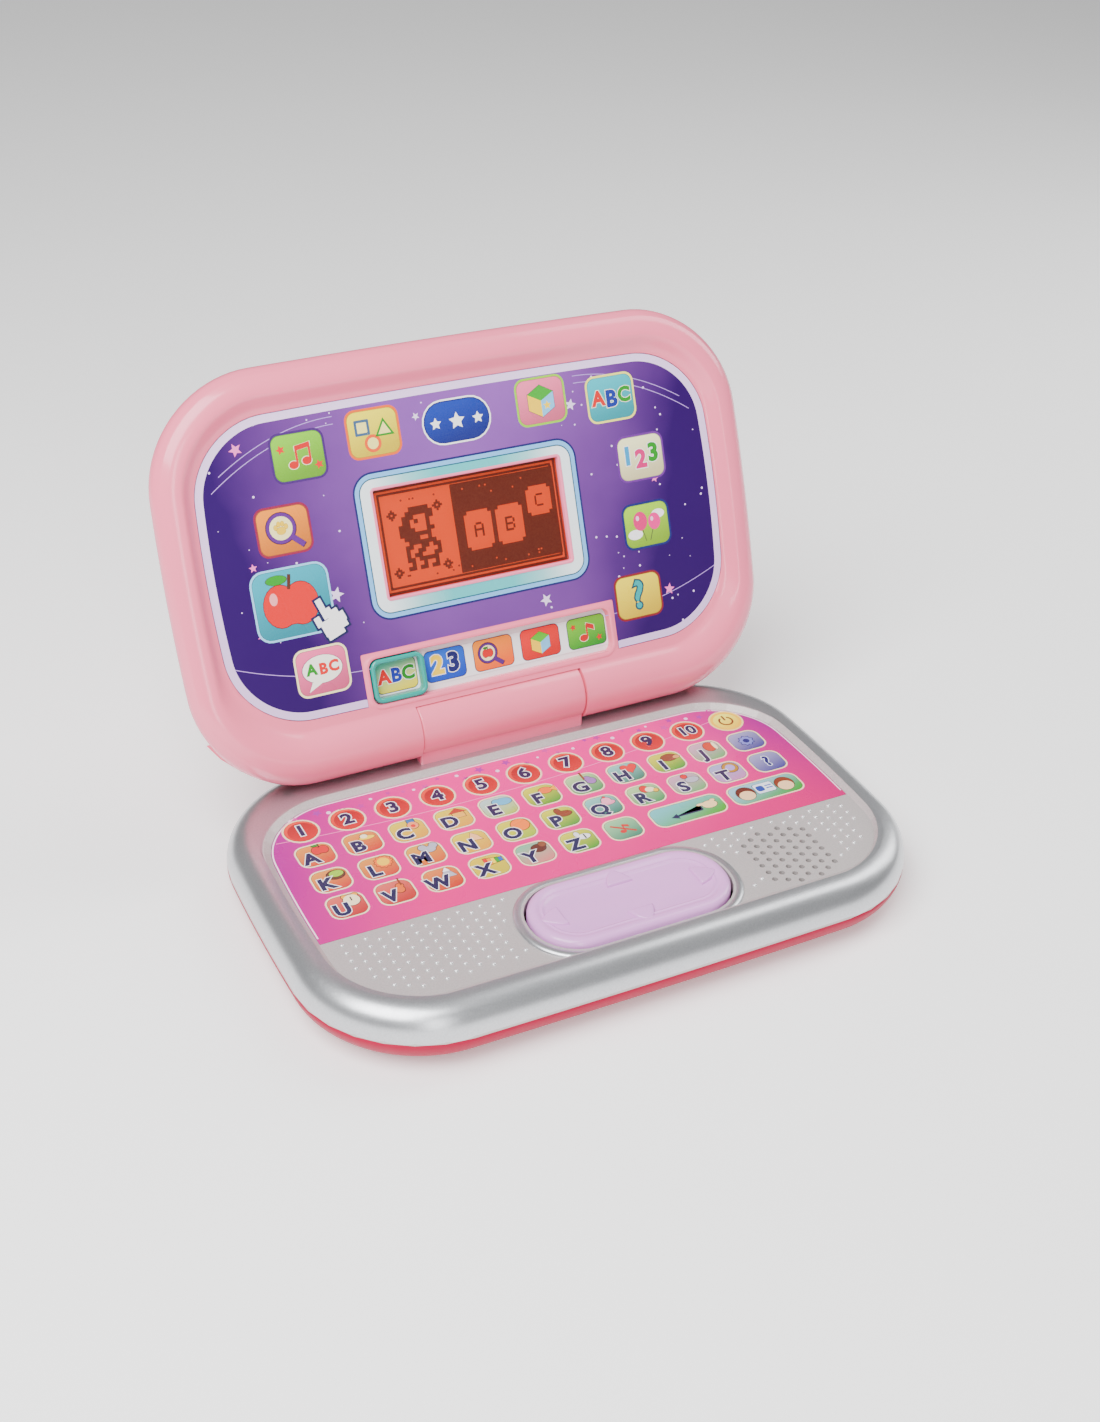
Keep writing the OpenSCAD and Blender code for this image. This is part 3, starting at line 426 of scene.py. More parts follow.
class Print:
    """Ink on one flat sheet, gathered into one mesh. Each shape is a thin closed prism, a level
    is 0.03 mm of height, and the colours sit on the points in an attribute named ink."""

    def __init__(self):
        self.points, self.faces, self.inks, self.count = [], [], [], 0

    def add(self, points, faces, ink, at=(0, 0), turn=0.0, level=1.0, size=1.0):
        c, s = math.cos(turn), math.sin(turn)
        xy = points[:, :2] @ np.array([[c, s], [-s, c]]) * size + np.array(at)
        self.points.append(np.c_[xy, np.where(points[:, 2] > 0.5, 0.03 * level, -0.05)])
        self.faces += [[v + self.count for v in f] for f in faces]
        ink = ink(points[:, 0], points[:, 1]) if callable(ink) else np.array(ink[:3])
        self.inks.append(np.c_[np.broadcast_to(ink, (len(points), 3)), np.ones(len(points))])
        self.count += len(points)

    def shape(self, edge, ink, at=(0, 0), turn=0.0, level=1.0, rings=1, size=1.0):
        n, middle = len(edge), edge.mean(0)
        k = np.repeat(1 - np.arange(rings) / rings, n)[:, None]
        top = middle + (np.tile(edge, (rings, 1)) - middle) * k
        points = np.vstack([np.c_[edge, np.zeros(n)], np.c_[top, np.ones(n * rings)]])
        faces = [list(range(n))[::-1], list(range(n * rings, n * rings + n))]
        faces += [[r * n + i, r * n + (i + 1) % n, (r + 1) * n + (i + 1) % n, (r + 1) * n + i]
                  for r in range(rings) for i in range(n)]
        self.add(points, faces, ink, at, turn, level, size)

    def band(self, outer, inner, ink, level=1.0, rings=1):
        """Flat ring between two outlines with the same number of points."""
        n, k = len(outer), np.arange(rings + 1)[:, None, None] / rings
        top = (outer * (1 - k) + inner * k).reshape(-1, 2)
        points = np.vstack([np.c_[outer, np.zeros(n)], np.c_[top, np.ones(len(top))], np.c_[inner,
                np.zeros(n)]])
        total = rings + 3
        faces = [[r * n + i, r * n + (i + 1) % n, (r + 1) % total * n + (i + 1) % n, (r + 1) % total * n + i]
                 for r in range(total) for i in range(n)]
        self.add(points, faces, ink, level=level)

    def words(self, text, size, ink, at, turn=0.0, level=1.0, fat=0.02):
        self.add(*letters(text, fat), ink, at, turn, level, size)

    def outlined(self, text, size, rgb, at, level=2.1, fat=(0.08, 0.05), pale=(255, 255, 255), step=0.4):
        """Letters with a pale edge: a fat copy, and a slimmer one above it."""
        self.words(text, size, tint(*pale), at, 0, level, fat[0])
        self.words(text, size, tint(*rgb), at, 0, level + step, fat[1])

    def picture(self, parts, at, size=1.0, level=1.0, edge=0.35, dark=(60, 30, 30), turn=0.0):
        """Small drawing from (outline, place, colour) parts, each with a dark edge round it."""
        c, s = math.cos(turn), math.sin(turn)
        for k, (shape, place, rgb) in enumerate(parts):
            place = (at[0] + size * (c * place[0] - s * place[1]),
                     at[1] + size * (s * place[0] + c * place[1]))
            if edge:
                grown = 1 + edge / size / np.abs(shape - shape.mean(0)).max()
                self.shape(shape.mean(0) + (shape - shape.mean(0)) * grown, tint(*dark), place, turn, level,
                           1, size)
            self.shape(shape, tint(*rgb), place, turn, level + 0.4 + 0.12 * k, 1, size)

    def piece(self, name, place, body, slot=None, material=None):
        mesh = bpy.data.meshes.new(name)
        mesh.from_pydata((place(np.vstack(self.points)) / 1000).tolist(), [], self.faces)
        ink = mesh.color_attributes.new("ink", "FLOAT_COLOR", "POINT")
        ink.data.foreach_set("color", np.vstack(self.inks).astype(np.float32).ravel())
        return on_body(mesh, name, material or printed, body, 30)


def fade(top, low, half, spread=(0.25, 1.0)):
    """Ink that runs from one colour at the top left to another at the bottom right."""
    a, b = np.array(tint(*top)[:3]), np.array(tint(*low)[:3])

    def ink(x, y):
        t = np.clip(0.5 + 0.5 * (spread[0] * x - spread[1] * y) / half, 0, 1)[:, None]
        return a * (1 - t) + b * t
    return ink


apple = [(disc(1.0, 1.25), (-0.75, 0), (214, 24, 30)), (disc(1.0, 1.25), (0.75, 0), (214, 24, 30)),
         (disc(1.35, 1.0), (0, -0.1), (214, 24, 30)), (box(0.25, 1.0), (0.1, 1.5), (90, 50, 20)),
         (disc(0.7, 0.32), (-0.6, 1.7), (60, 150, 50))]
note = [(disc(1.05, 0.8), (-0.8, -1.3), (205, 30, 40)), (box(0.4, 3.0), (0.1, 0.2), (205, 30, 40)),
        (poly((0, 0), (1.9, -0.9), (1.9, 0.3), (0, 1.1)), (0.1, 1.0), (205, 30, 40))]
paw = [(disc(1.0, 0.8), (0, -0.7), (240, 210, 40))]
paw += [(disc(0.42, 0.55), (x, y), (240, 210, 40)) for x, y in ((-1.15, 0.1), (-0.42, 0.75), (0.42, 0.75),
        (1.15, 0.1))]
brown, grey, orange, cream = (150, 88, 44), (190, 190, 200), (240, 140, 30), (250, 236, 205)
pictures = {
    "A": apple, "B": [(disc(1.7, 0.6), (0, 0), (245, 220, 70)), (disc(0.8, 0.7), (-0.5, 0.6), cream)],
    "C": [(box(1.6, 1.3), (0, 1.5), (40, 130, 180)), (disc(1.2), (0, 0), (240, 170, 130)), (disc(0.5),
            (0, -0.2), (220, 30, 40))],
    "D": [(box(2.6, 1.7), (0, -0.6), (235, 190, 110)), (poly((-2, 0), (2, 0), (0, 1.6)), (0, 0.3),
                                                        (190, 80, 40))],
    "E": [(disc(1.9, 1.2), (0.3, 0), (120, 190, 220)), (disc(1.0), (-1.2, 0.2), (120, 190, 220))],
    "F": [(disc(1.5, 1.1), (0, 0), orange), (poly((0, 0), (1.3, 1.1), (1.3, -1.1)), (1.2, 0),
                                             (250, 180, 50))],
    "G": [(disc(1.1), (0.5, -0.8), (170, 130, 190)), (disc(0.8), (0, 0.2), (170, 130, 190)), (box(0.45, 2.6),
            (-0.7, 1.4), brown)],
    "H": [(heart(2.0), (0, 0), (222, 24, 36))], "I": [(disc(1.9, 1.3), (-0.2, 0), brown),
                                                      (disc(0.8, 0.6), (1.5, -0.3), (220, 170, 120))],
    "J": [(disc(1.4, 1.7), (0, 0), (205, 90, 40)), (disc(0.45, 1.5), (1.3, 0), cream)],
    "K": [(disc(1.9, 1.5), (0, 0), (110, 70, 30)), (disc(1.5, 1.0), (0.2, 0.3), (170, 205, 60))],
    "L": [(star(2.0, 0.82, 12), (0, 0), orange), (disc(1.3), (0, 0), (250, 210, 60))],
    "M": [(disc(0.9), (-1.3, 0.9), grey), (disc(0.9), (1.1, 1.0), grey), (disc(1.3, 1.0), (0, 0), grey)],
    "N": [(poly((-1.8, -1), (1.2, -1.2), (0.6, 0.4), (-0.5, 1.6), (-1.0, 0.6)), (0, 0), (250, 200, 160))],
    "O": [(disc(2.0), (0, 0), (245, 150, 30))], "P": [(disc(1.7, 1.0), (0, -0.3), brown),
                                                      (disc(0.7, 0.9), (-1.1, 0.9), brown)],
    "Q": [(disc(1.7, 0.8), (0, -0.6), (240, 160, 190)), (disc(1.1), (0, 0.2), (245, 180, 200)), (disc(0.3),
            (0, 1.4), (220, 40, 60))],
    "R": [(disc(1.0, 1.2), (-0.8, 0.5), (220, 40, 50)), (disc(1.1, 0.9), (0.3, 0), cream), (disc(0.6),
            (1.4, -0.7), (240, 200, 60))],
    "S": [(disc(1.6, 1.0), (0.3, -0.5), grey), (disc(0.7), (-0.9, 1.1), (220, 50, 60))],
    "T": [(disc(1.8), (0, 0), (190, 150, 70)), (disc(1.1), (0, 0), (190, 170, 220))],
    "U": [(disc(0.6), (-1.1, 1.4), (235, 180, 60)), (disc(0.6), (1.1, 1.4), (235, 180, 60)), (disc(1.7),
            (0, 0), cream),
          (box(0.3, 1.2), (0, 0.4), (60, 40, 40))],
    "V": [(disc(1.0), (-0.3, -0.9), (225, 130, 40)), (disc(0.8), (0, 0.2), (225, 130, 40)), (box(0.35, 2.2),
            (0.4, 1.4), brown)],
    "W": [(poly((-1.7, -1.2), (1.7, -1.2), (0.2, 1.9)), (0, 0), grey),
          (poly((-0.7, 0.6), (0.9, 0.6), (0.2, 1.9)), (0, 0.1), (250, 250, 250))],
    "X": [(box(0.75, 2.4 - 0.3 * k), (-1.6 + 0.8 * k, 0), c) for k, c in enumerate(
        [(220, 50, 50), (240, 170, 40), (250, 225, 70), (70, 170, 80), (60, 120, 200)])],
    "Y": [(disc(1.6, 1.3), (0, 0), (110, 60, 40)), (disc(0.8), (1.2, 0.9), (150, 100, 70))],
    "Z": [(disc(1.5, 0.9), (0.1, -0.3), (240, 240, 240)), (disc(0.6, 0.9), (-1.1, 0.8), (235, 235, 235)),
          (box(0.35, 1.5), (0.3, -0.3), (60, 60, 60))]}
warm, amber, lime, green = ((250, 186, 110), (226, 66, 40)), ((252, 236, 112), (250, 190, 66)), ((214, 236,
        240), (206, 220, 40)), ((246, 240, 110), (70, 176, 74))
mint, teal_key, lilac, red_key = ((214, 240, 190), (56, 172, 110)), ((176, 230, 224), (20, 140, 116)), ((240,
        190, 220), (128, 200, 130)), ((246, 140, 128), (206, 30, 44))
tones = dict(zip("ABCDEFGHIJKLMNOPQRSTUVWXYZ", [
    warm, warm, amber, amber, lime, green, mint, teal_key, green, lilac,
    warm, warm, ((250, 200, 110), (236, 120, 40)), amber, ((250, 238, 110), (190, 216, 60)), green, teal_key,
    mint, lilac,
    ((190, 200, 240), (226, 160, 210)), red_key, red_key, ((250, 170, 110), (220, 70, 44)), ((250, 226, 90),
            (226, 214, 50)),
    ((150, 220, 190), (240, 150, 150)), green]))
navy = (14, 36, 92)
key_rows = hinge_y - np.array([30, 47.2, 64.6, 81.8])
keys = Print()
rng = np.random.default_rng(4)
for n in range(34):
    x, y = -104 + 6.3 * n + rng.uniform(-2, 2), hinge_y - rng.uniform(17.5, 24)
    if n % 3:
        keys.shape(star(rng.uniform(1.0, 2.5)),
                   tint(*rng.choice([[196, 72, 168], [210, 84, 172], [176, 74, 172]])), (x, y), rng.uniform(0,
                           1), 1)
    else:
        keys.shape(disc(rng.uniform(0.5, 1.0), n=12), tint(255, 214, 240), (x, y), 0, 1.2)
sweep = np.linspace(-1, 1, 41)
keys.shape(strip(np.stack([sweep * 112, hinge_y - 38 + 9 * sweep ** 2 + 5 * sweep], -1), 0.35), tint(246, 150,
        200), level=0.7)
edge = recess_rows([0.6, 1.2])
edge[..., 1] = np.maximum(edge[..., 1], np.array([[hinge_y - 98.8], [hinge_y - 98.8]]))
half = np.arange(edge.shape[1])[(edge[1, :, 1] > hinge_y - 98.5)]
half = np.roll(half, -int(np.argmax(np.diff(half) > 1)) - 1)
keys.shape(np.vstack([edge[0, half], edge[1, half][::-1]]), tint(255, 226, 238), level=0.9)


def key_tile(at, w, h, top, low, r=4.0, rim=(120, 44, 40)):
    """Key print: cream glow, dark line and a tile graded towards a deeper colour at its foot."""
    keys.shape(box(w + 1.5, h + 1.5, r + 0.6), tint(250, 214, 196), at, 0, 1)
    keys.shape(box(w + 0.9, h + 0.9, r + 0.3), tint(255, 242, 206), at, 0, 1.2)
    keys.shape(box(w + 0.1, h + 0.1, r), tint(*rim), at, 0, 1.5)
    keys.shape(box(w - 0.3, h - 0.3, r - 0.2), fade(*(np.array(v) * 0.9 for v in (top, low)), h / 2,
                                                    (0.25, 0.8)), at, 0, 1.8, 3)


for n in range(10):
    at = (-100 + 20 * n, key_rows[0])
    keys.shape(disc(7.9), tint(246, 190, 190), at, 0, 1)
    keys.shape(disc(7.5), tint(255, 236, 200), at, 0, 1.2)
    keys.shape(disc(7.0), tint(150, 20, 34), at, 0, 1.5)
    keys.shape(disc(6.8), fade((226, 100, 84), (206, 44, 40), 7), at, 0, 1.8, 2)
    keys.shape(disc(6.0), fade((176, 14, 26), (206, 40, 36), 5.5), (at[0] + 0.4, at[1] - 0.5), 0, 2.1, 2)
    keys.outlined(str(n + 1), 9.6 if n < 9 else 8.4, navy, at, 2.7, (0.085, 0.045))
at = (100, key_rows[0])
keys.shape(disc(7.9), tint(252, 226, 170), at, 0, 1)
keys.shape(disc(7.1), tint(250, 206, 60), at, 0, 1.5)
keys.shape(disc(5.8), fade((255, 244, 140), (248, 214, 70), 5), at, 0, 1.8, 2)
a = np.linspace(2.1, 7.3, 20)
keys.shape(strip(3.0 * np.stack([np.cos(a), np.sin(a)], -1), 0.9), tint(140, 66, 24), at, 0, 2.1)
keys.shape(box(0.9, 3.6), tint(140, 66, 24), (at[0], at[1] + 2.4), 0, 2.4)

for row, names in ((1, "ABCDEFGHIJ"), (2, "KLMNOPQRST"), (3, "UVWXYZ")):
    for n, name in enumerate(names):
        at = (-100 + 20 * n, key_rows[row])
        key_tile(at, 14.4, 13.0, *tones[name])
        keys.picture(pictures[name], (at[0] + 2.7, at[1] + 2.5), 1.95, 2.2, 0.3)
        keys.outlined(name, 9.4, navy, (at[0] - 2.6, at[1] - 2.0), 3.4, (0.085, 0.05), step=0.3)
for row, name in ((1, "gear"), (2, "?")):
    at = (100, key_rows[row])
    key_tile(at, 14.4, 13.0, (196, 190, 226), (96, 80, 168))
    if name == "gear":
        keys.shape(star(4.0, 0.76, 9), tint(60, 50, 130), at, 0, 2.1)
        keys.shape(star(3.4, 0.78, 9), tint(150, 150, 210), at, 0, 2.4)
        keys.shape(disc(1.5), tint(60, 50, 130), at, 0, 2.7)
    else:
        keys.outlined("?", 9.5, (50, 44, 120), at, 2.1, (0.07, 0.03), (230, 230, 250), 0.3)
at = (20, key_rows[3])
key_tile(at, 14.4, 13.0, (190, 234, 190), (10, 150, 130))
keys.picture(note, (at[0] + 0.3, at[1]), 1.35, 2.1, 0.0)
keys.shape(strip([(-4.5, 3.2), (0, 0), (4.5, -3.2)], 0.9), tint(200, 30, 50), at, 0, 3.4)
at = (50.5, key_rows[3])
key_tile(at, 33, 12.4, (150, 220, 224), (110, 196, 60))
keys.shape(strip([(6, 1.5), (6, -1.8), (5.6, -2.0), (-6, -2.0)], 0.9), tint(*navy), at, 0, 2.2)
keys.shape(poly((-9, -2), (-5.6, -0.2), (-5.6, -3.8)), tint(*navy), at, 0, 2.3)
keys.picture([(disc(3.4, 2.4), (0, 0), (250, 222, 180)), (disc(2.3, 0.8), (-3.4, 1.2), (250, 222, 180)),
              (disc(1.2, 0.8), (2.4, 2.2), (250, 222, 180))], (at[0] + 10.5, at[1] + 0.2), 1.0, 2.1, 0.3,
              (120, 80, 60))
at = (88.3, key_rows[3])
key_tile(at, 33, 12.4, (190, 226, 244), (96, 190, 84))
keys.picture([(box(9, 6.4, 1), (0, 1.0), (236, 240, 250)), (box(3.6, 3.8, 1.2), (-2, 1.0), (70, 90, 170)),
              (box(3.2, 0.7), (2.3, 2.0), (90, 110, 190)), (box(3.2, 0.7), (2.3, 0.4), (90, 110, 190))], at,
              1.0, 2.1, 0.3, (40, 50, 110))
for x, hair in ((-9.5, (120, 60, 30)), (9.5, (150, 80, 36))):
    keys.picture([(disc(4.2, 4.4), (0, 0.9), hair), (disc(3.6, 3.2), (0, -0.6), (252, 216, 180))], (at[0] + x,
            at[1] - 0.6), 1.0, 2.3, 0.25, (90, 50, 40))
keys.piece("keyboard_print", lambda p: p + [0, 0, deck_z], "base", "printed_sheet")

# ---------------------------------------------------------------- Hinge cover
# A pink hood, moulded in one with its end walls, that hides the bracket and its screws. It
# stands in the deck's notch, its round top turned about the hinge's own axis.

pink = moulded("pink_abs", (250, 154, 176), 0.24, 0.35)


def hood_rows(inset):
    """Hood in the plane across the hinge: a circle of 12.6 less the inset, over a straight foot."""
    t = np.linspace(math.radians(-41.8), math.radians(221.8), 61)
    r = 12.6 - np.asarray(inset, float)[:, None]
    foot = np.linspace(0, 1, 9)[1:, None]
    y, z = r * np.cos(t), r * np.sin(t)
    low = -19.8
    left = np.stack([np.broadcast_to(y[:, -1:], (len(r), 8)), z[:, -1:] + (low - z[:, -1:]) * foot.T], -1)
    right = left[:, ::-1] * [-1, 1]
    return np.concatenate([np.stack([y, z], -1), left, right], 1)


def along_x(rows, x):
    """Rows of (y, z) about the hinge, each at its own x."""
    x = np.broadcast_to(np.reshape(x, (-1, 1)), rows.shape[:2])
    return np.stack([x, hinge_y + rows[..., 0], hinge_z + rows[..., 1]], -1)


t = np.linspace(0, math.pi / 2, 6)
inset = np.r_[0.9 * (1 - np.sin(t)), 0.9 * (1 - np.sin(t))[::-1]]
x = np.r_[-38.3 + 0.9 * (1 - np.cos(t)), (38.3 - 0.9 * (1 - np.cos(t)))[::-1]]
rim = hood_rows(inset)
a = np.arctan2(rim[0, :, 1], rim[0, :, 0])
bore = 5.4 * np.stack([np.cos(a), np.sin(a)], -1)[None]
hood = skin("hinge_hood", np.concatenate([along_x(bore, -38.3), along_x(rim, x), along_x(bore, 38.3)]), pink,
            "base",
            through=True)
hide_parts("hinge_centre_cover")

# ---------------------------------------------------------------- Lid frame
# The pink ABS frame of the lid: a fat rounded rim that slopes down to the printed card, and
# along the hinge a round barrel with a slot in the middle for the hood.

def on_lid(p):
    """Lid points (across, up from the hinge's axis, out of the face) turned about the axis by the
    lean of the open lid."""
    p = np.asarray(p, float)
    return np.stack([p[..., 0], hinge_y + p[..., 1] * math.cos(lean) - p[..., 2] * math.sin(lean),
                     hinge_z + p[..., 1] * math.sin(lean) + p[..., 2] * math.cos(lean)], -1)


barrel_x = np.array([-81, -60, -38.8, -30, -20, -10, 0, 10, 20, 30, 38.8, 60])


def lid_rows(inset, bow=1.5):
    """The lid's outline, drawn in by each inset, with its points along the hinge at barrel_x."""
    inset = np.asarray(inset, float)
    rows = outline(132.5 - inset, -13.3 + inset, 158.5 - inset, 45 - inset, 3.5, bow)
    rows[:, 84:96, 0] = barrel_x
    return rows


def card_rows(inset):
    """The printed card's outline, drawn in by each inset."""
    inset = np.asarray(inset, float)
    rows = outline(116.3 - inset, 13.8 + inset, 140.3 - inset, 30.3 - inset, 3.5, 1.5)
    rows[:, 84:96, 0] = barrel_x
    return rows


column = np.arange(128)
near = np.clip(1 - np.maximum(np.maximum(84 - column, column - 96), 0) / 20, 0, 1)
near = (near ** 2 * (3 - 2 * near))[:, None]
b = np.linspace(0, math.pi / 2, 16)
side_h = 13.25 * np.sin(b)
side_h[0] = 0.1
side_in = np.interp(side_h, [0, 2.6, 5.3, 8, 10.9, 12.2], [1.6, 0.5, 0, 0.6, 3.1, 5.2])
side_in[-5:] = [3.0, 4.5, 6.2, 8.2, 10.2]
side_h[-5:] = [10.8, 11.9, 12.65, 13.1, 13.22]
side_in[0] = 1.9
barrel_in, barrel_h = 13.3 * (1 - np.cos(b)), 13.3 * np.sin(b)
barrel_h[0] = 0.1
u = math.asin(10 / 13.3) * np.arange(1, 8) / 7
barrel_in = np.r_[barrel_in, 13.3 + 13.3 * np.sin(u), 23.9, 25.7, 27.1, 27.1, 27.6, 27.8, 27.8, 27.8]
barrel_h = np.r_[barrel_h, 13.3 * np.cos(u), 8.7, 8.65, 8.6, 7.9, 7.4, 7.3, 3.0, 0.1]
v = np.r_[np.arange(1, 8) / 10, 0.82, 0.94, 1.0]
crest, edge = lid_rows([10.2]), card_rows([0.0])
fall = crest * (1 - v[:, None, None]) + edge * v[:, None, None]
fall_h = 8.75 + (13.22 - 8.75) * (0.5 + 0.5 * np.cos(math.pi * v ** 0.9))
sides = np.concatenate([raised(lid_rows(side_in), side_h), raised(fall, fall_h),
                        raised(card_rows([0.0, 0.5]), [7.9, 7.4]), raised(lid_rows([10, 4.4, 4.4]),
                                [7.3, 3, 0.1])])
barrel = raised(lid_rows(barrel_in, 0.0), barrel_h)
grid = sides * (1 - near) + barrel * near
grid[25:27] = raised(card_rows([0.0, 0.0]), [8.7, 7.9])
rows, slot_row, slot_cols = len(grid), 22, np.arange(86, 95)
hole = np.zeros((rows, 128), bool)
hole[:slot_row, 86:94] = True
hole[-1, 86:94] = True
h = np.r_[8.46, np.linspace(8.46, 0.1, 6)[1:]]
lining = np.stack([np.broadcast_to(grid[slot_row, slot_cols, 0], (6, 9)),
                   np.broadcast_to(np.sqrt(13.1 ** 2 - h ** 2)[:, None], (6, 9)),
                   np.broadcast_to(h[:, None], (6, 9))], -1)
ladder = np.vstack([slot_row * 128 + slot_cols, rows * 128 + np.arange(54).reshape(6, 9),
                    (rows - 1) * 128 + slot_cols])
more = [[a, b2, c2, d] for a, b2, c2,
        d in np.stack([ladder[:-1, :-1], ladder[:-1, 1:], ladder[1:, 1:], ladder[1:, :-1]], -1)
        .reshape(-1, 4).tolist()]
more += [np.r_[np.arange(slot_row) * 128 + slot_cols[e], ladder[:, e]].tolist() for e in (0, 8)]
frame_skin = skin("lid_frame_skin", on_lid(grid), pink, "lid", through=True, skip=hole,
                  extra=(on_lid(lining.reshape(-1, 3)), more), smooth=40)
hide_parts("lid_front_shell")

# ---------------------------------------------------------------- Lid back
# The pink back half of the lid, with six screws sunk in it, closes the frame from behind.

def merged(node, name, material, body, smooth=32):
    """The node's own shape with its loose triangles joined, so that curved faces shade smooth."""
    work = bmesh.new()
    work.from_mesh(frame["nodes"][node].data)
    bmesh.ops.remove_doubles(work, verts=work.verts, dist=2e-6)
    mesh = bpy.data.meshes.new(name)
    work.to_mesh(mesh)
    work.free()
    mesh.materials.clear()
    piece = on_body(mesh, name, material, body, smooth)
    weighted = piece.modifiers.new("weighted_normals", "WEIGHTED_NORMAL")
    weighted.weight, weighted.keep_sharp = 100, True
    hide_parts(node)
    return piece


merged("lid_back_shell", "lid_back_skin", pink, "lid")

# ---------------------------------------------------------------- Printed card
# A laminated card glued in the lid's bed: purple with stars, a lavender border, a badge, ten picture
# icons and the screen's printed bezel.

def across_lid(place):
    """Across and up the lid in mm, from Object coordinates."""
    at = place.make("SeparateXYZ", None, {"Vector": place})
    x, y, z = (Wire(at.tree, at.socket.node.outputs[n]) for n in range(3))
    return x * 1000, ((y - hinge_y / 1000) * (1000 * math.cos(lean))
                      + (z - hinge_z / 1000) * (1000 * math.sin(lean)))


def purple(place):
    """Purple, dark at the sides, pale in the middle and at the top centre, a little cloudy."""
    x, up = across_lid(place)
    side = (x * x) * (1 / 115 ** 2)
    mid = (1 - side * 1.5) * 0.75 + (up - 78) * 0.004 + (place.noise(22, 3) - 0.5) * 0.5
    return mid.clamp().blend(tint(78, 42, 116), tint(162, 116, 186))


frame["nodes"]["lid_artwork_panel"].data.materials[0] = gloss_print("card_print", purple, 0.3)
card = Print()
ring = np.r_[95:128, 0:86]
pair = card_rows([0.3, 3.5])
ends = [[[58.9, 13.8 + i + 1.5 * (58.9 / 112.8) ** 2]] for i in (0.3, 3.5)]
card.shape(np.vstack([ends[0], pair[0, ring], np.array(ends[0]) * [-1, 1], np.array(ends[1]) * [-1, 1],
                      pair[1, ring][::-1], ends[1]]),
           lambda x, y: np.array(tint(226, 206, 238)[:3]) + 0.12 * np.clip((y - 60) / 80, 0, 1)[:, None],
           level=0.8)
for n in range(150):
    x, up = rng.uniform(-110, 110), rng.uniform(20, 136)
    if abs(x) < 54 and 44 < up < 113 or abs(x) < 60 and up < 38:
        continue
    if n % 7 == 0:
        ink = (250, 150, 210) if abs(x) > 66 else (236, 222, 250)
        card.shape(star(rng.uniform(1.6, 3.4)), tint(*ink), (x, up), rng.uniform(0, 1.2), 0.9)
    else:
        card.shape(disc(rng.uniform(0.18, 0.55), n=8), tint(232, 214, 250), (x, up), 0, 0.7)
for low, high, reach in ((118, 134, 104), (112, 131, 108), (42, 30, 112)):
    for side in (-1, 1):
        t = np.linspace(0, 1, 24)
        card.shape(strip(np.stack([side * (54 + (reach - 54) * t), high + (low - high) * t ** 2], -1), 0.3),
                   tint(196, 170, 226), level=0.75)

bezel = lambda grow: outline(50.7 - grow, 48.2 + grow, 109.5 - grow, 9 - min(grow, 6), corner=10, side=6)[0]
opening = outline(42.3, 57.0, 102.0, 0.5, corner=10, side=6)[0]
card.band(bezel(0), bezel(0.8), tint(46, 44, 120), level=1.2)
card.band(bezel(0.8), bezel(2.6), tint(150, 200, 238), level=1.2)
card.band(bezel(2.6), bezel(3.1), tint(40, 110, 130), level=1.2)


def bezel_ink(x, y):
    """Teal along the top and the bottom, fading to white at both ends."""
    t = np.clip((np.abs(x) - 20) / 22, 0, 1)[:, None] ** 1.2
    return np.array(tint(120, 204, 206)[:3]) * (1 - t) + np.array(tint(238, 246, 248)[:3]) * t


card.band(bezel(3.1), opening, bezel_ink, level=1.2, rings=4)


def icon_tile(at, rgb, rim, w=21, h=18, r=3.5):
    """Icon ground: coloured rim, a darker line in the tile's own colour and a graded tile."""
    rgb = np.array(rgb, float)
    card.shape(box(w + 2.2, h + 2.2, r + 0.8), tint(*rim), at, 0, 1.2)
    card.shape(box(w + 0.4, h + 0.4, r), tint(*np.minimum(rgb * 0.75, 255)), at, 0, 1.5)
    card.shape(box(w, h, r), fade(np.minimum(rgb * 1.05, 255), rgb * 0.84, h / 2), at, 0, 1.8, 3)


def beside(at, dx, dy):
    """The place that lies dx across and dy up from another."""
    return at[0] + dx, at[1] + dy


at = (-70.4, 120.8)
icon_tile(at, (150, 205, 60), (96, 50, 130))
card.picture([(disc(2.0, 1.6), (-2.4, -3.2), (214, 30, 44)), (disc(2.0, 1.6), (3.2, -2.2), (214, 30, 44)),
              (box(0.9, 6.5), (-0.8, 0.2), (214, 30, 44)),
              (box(0.9, 6.5), (4.8, 1.2), (214, 30, 44)),
              (poly((-1.2, 2.2), (5.2, 3.2), (5.2, 5.2), (-1.2, 4.2)), (0, 0), (214, 30, 44))],
             at, 1.0, 2.1, 0.3, (255, 250, 220))
for place in ((-7, 3.5), (8, -4.5)):
    card.shape(star(2.0), tint(230, 50, 60), beside(at, *place), 0.3, 2.4)
at = (-37.7, 124.9)
icon_tile(at, (250, 226, 70), (236, 130, 40))
for edge, place, rgb in ((box(6.4, 6.4, 0.4), (-4.6, 2.6), (90, 120, 150)),
                         (poly((-4.2, -3.4), (4.2, -3.4), (0, 3.9)), (4.8, 1.6), (60, 160, 70)),
                         (disc(3.6), (-0.8, -4.2), (236, 120, 36))):
    card.shape(edge, tint(*rgb), beside(at, *place), 0, 2.1)
    card.shape(edge * 0.66 + edge.mean(0) * 0.34, tint(250, 240, 170), beside(at, *place), 0, 2.5)
at = (-0.9, 124.1)
card.shape(box(31, 18.6, 9.2), tint(250, 250, 255), at, 0, 1.3)
card.shape(box(29.6, 17.2, 8.5), tint(16, 48, 130), at, 0, 1.6)
card.shape(box(28.6, 16.2, 8.0), fade((30, 84, 176), (14, 52, 136), 8), at, 0, 1.9, 3)
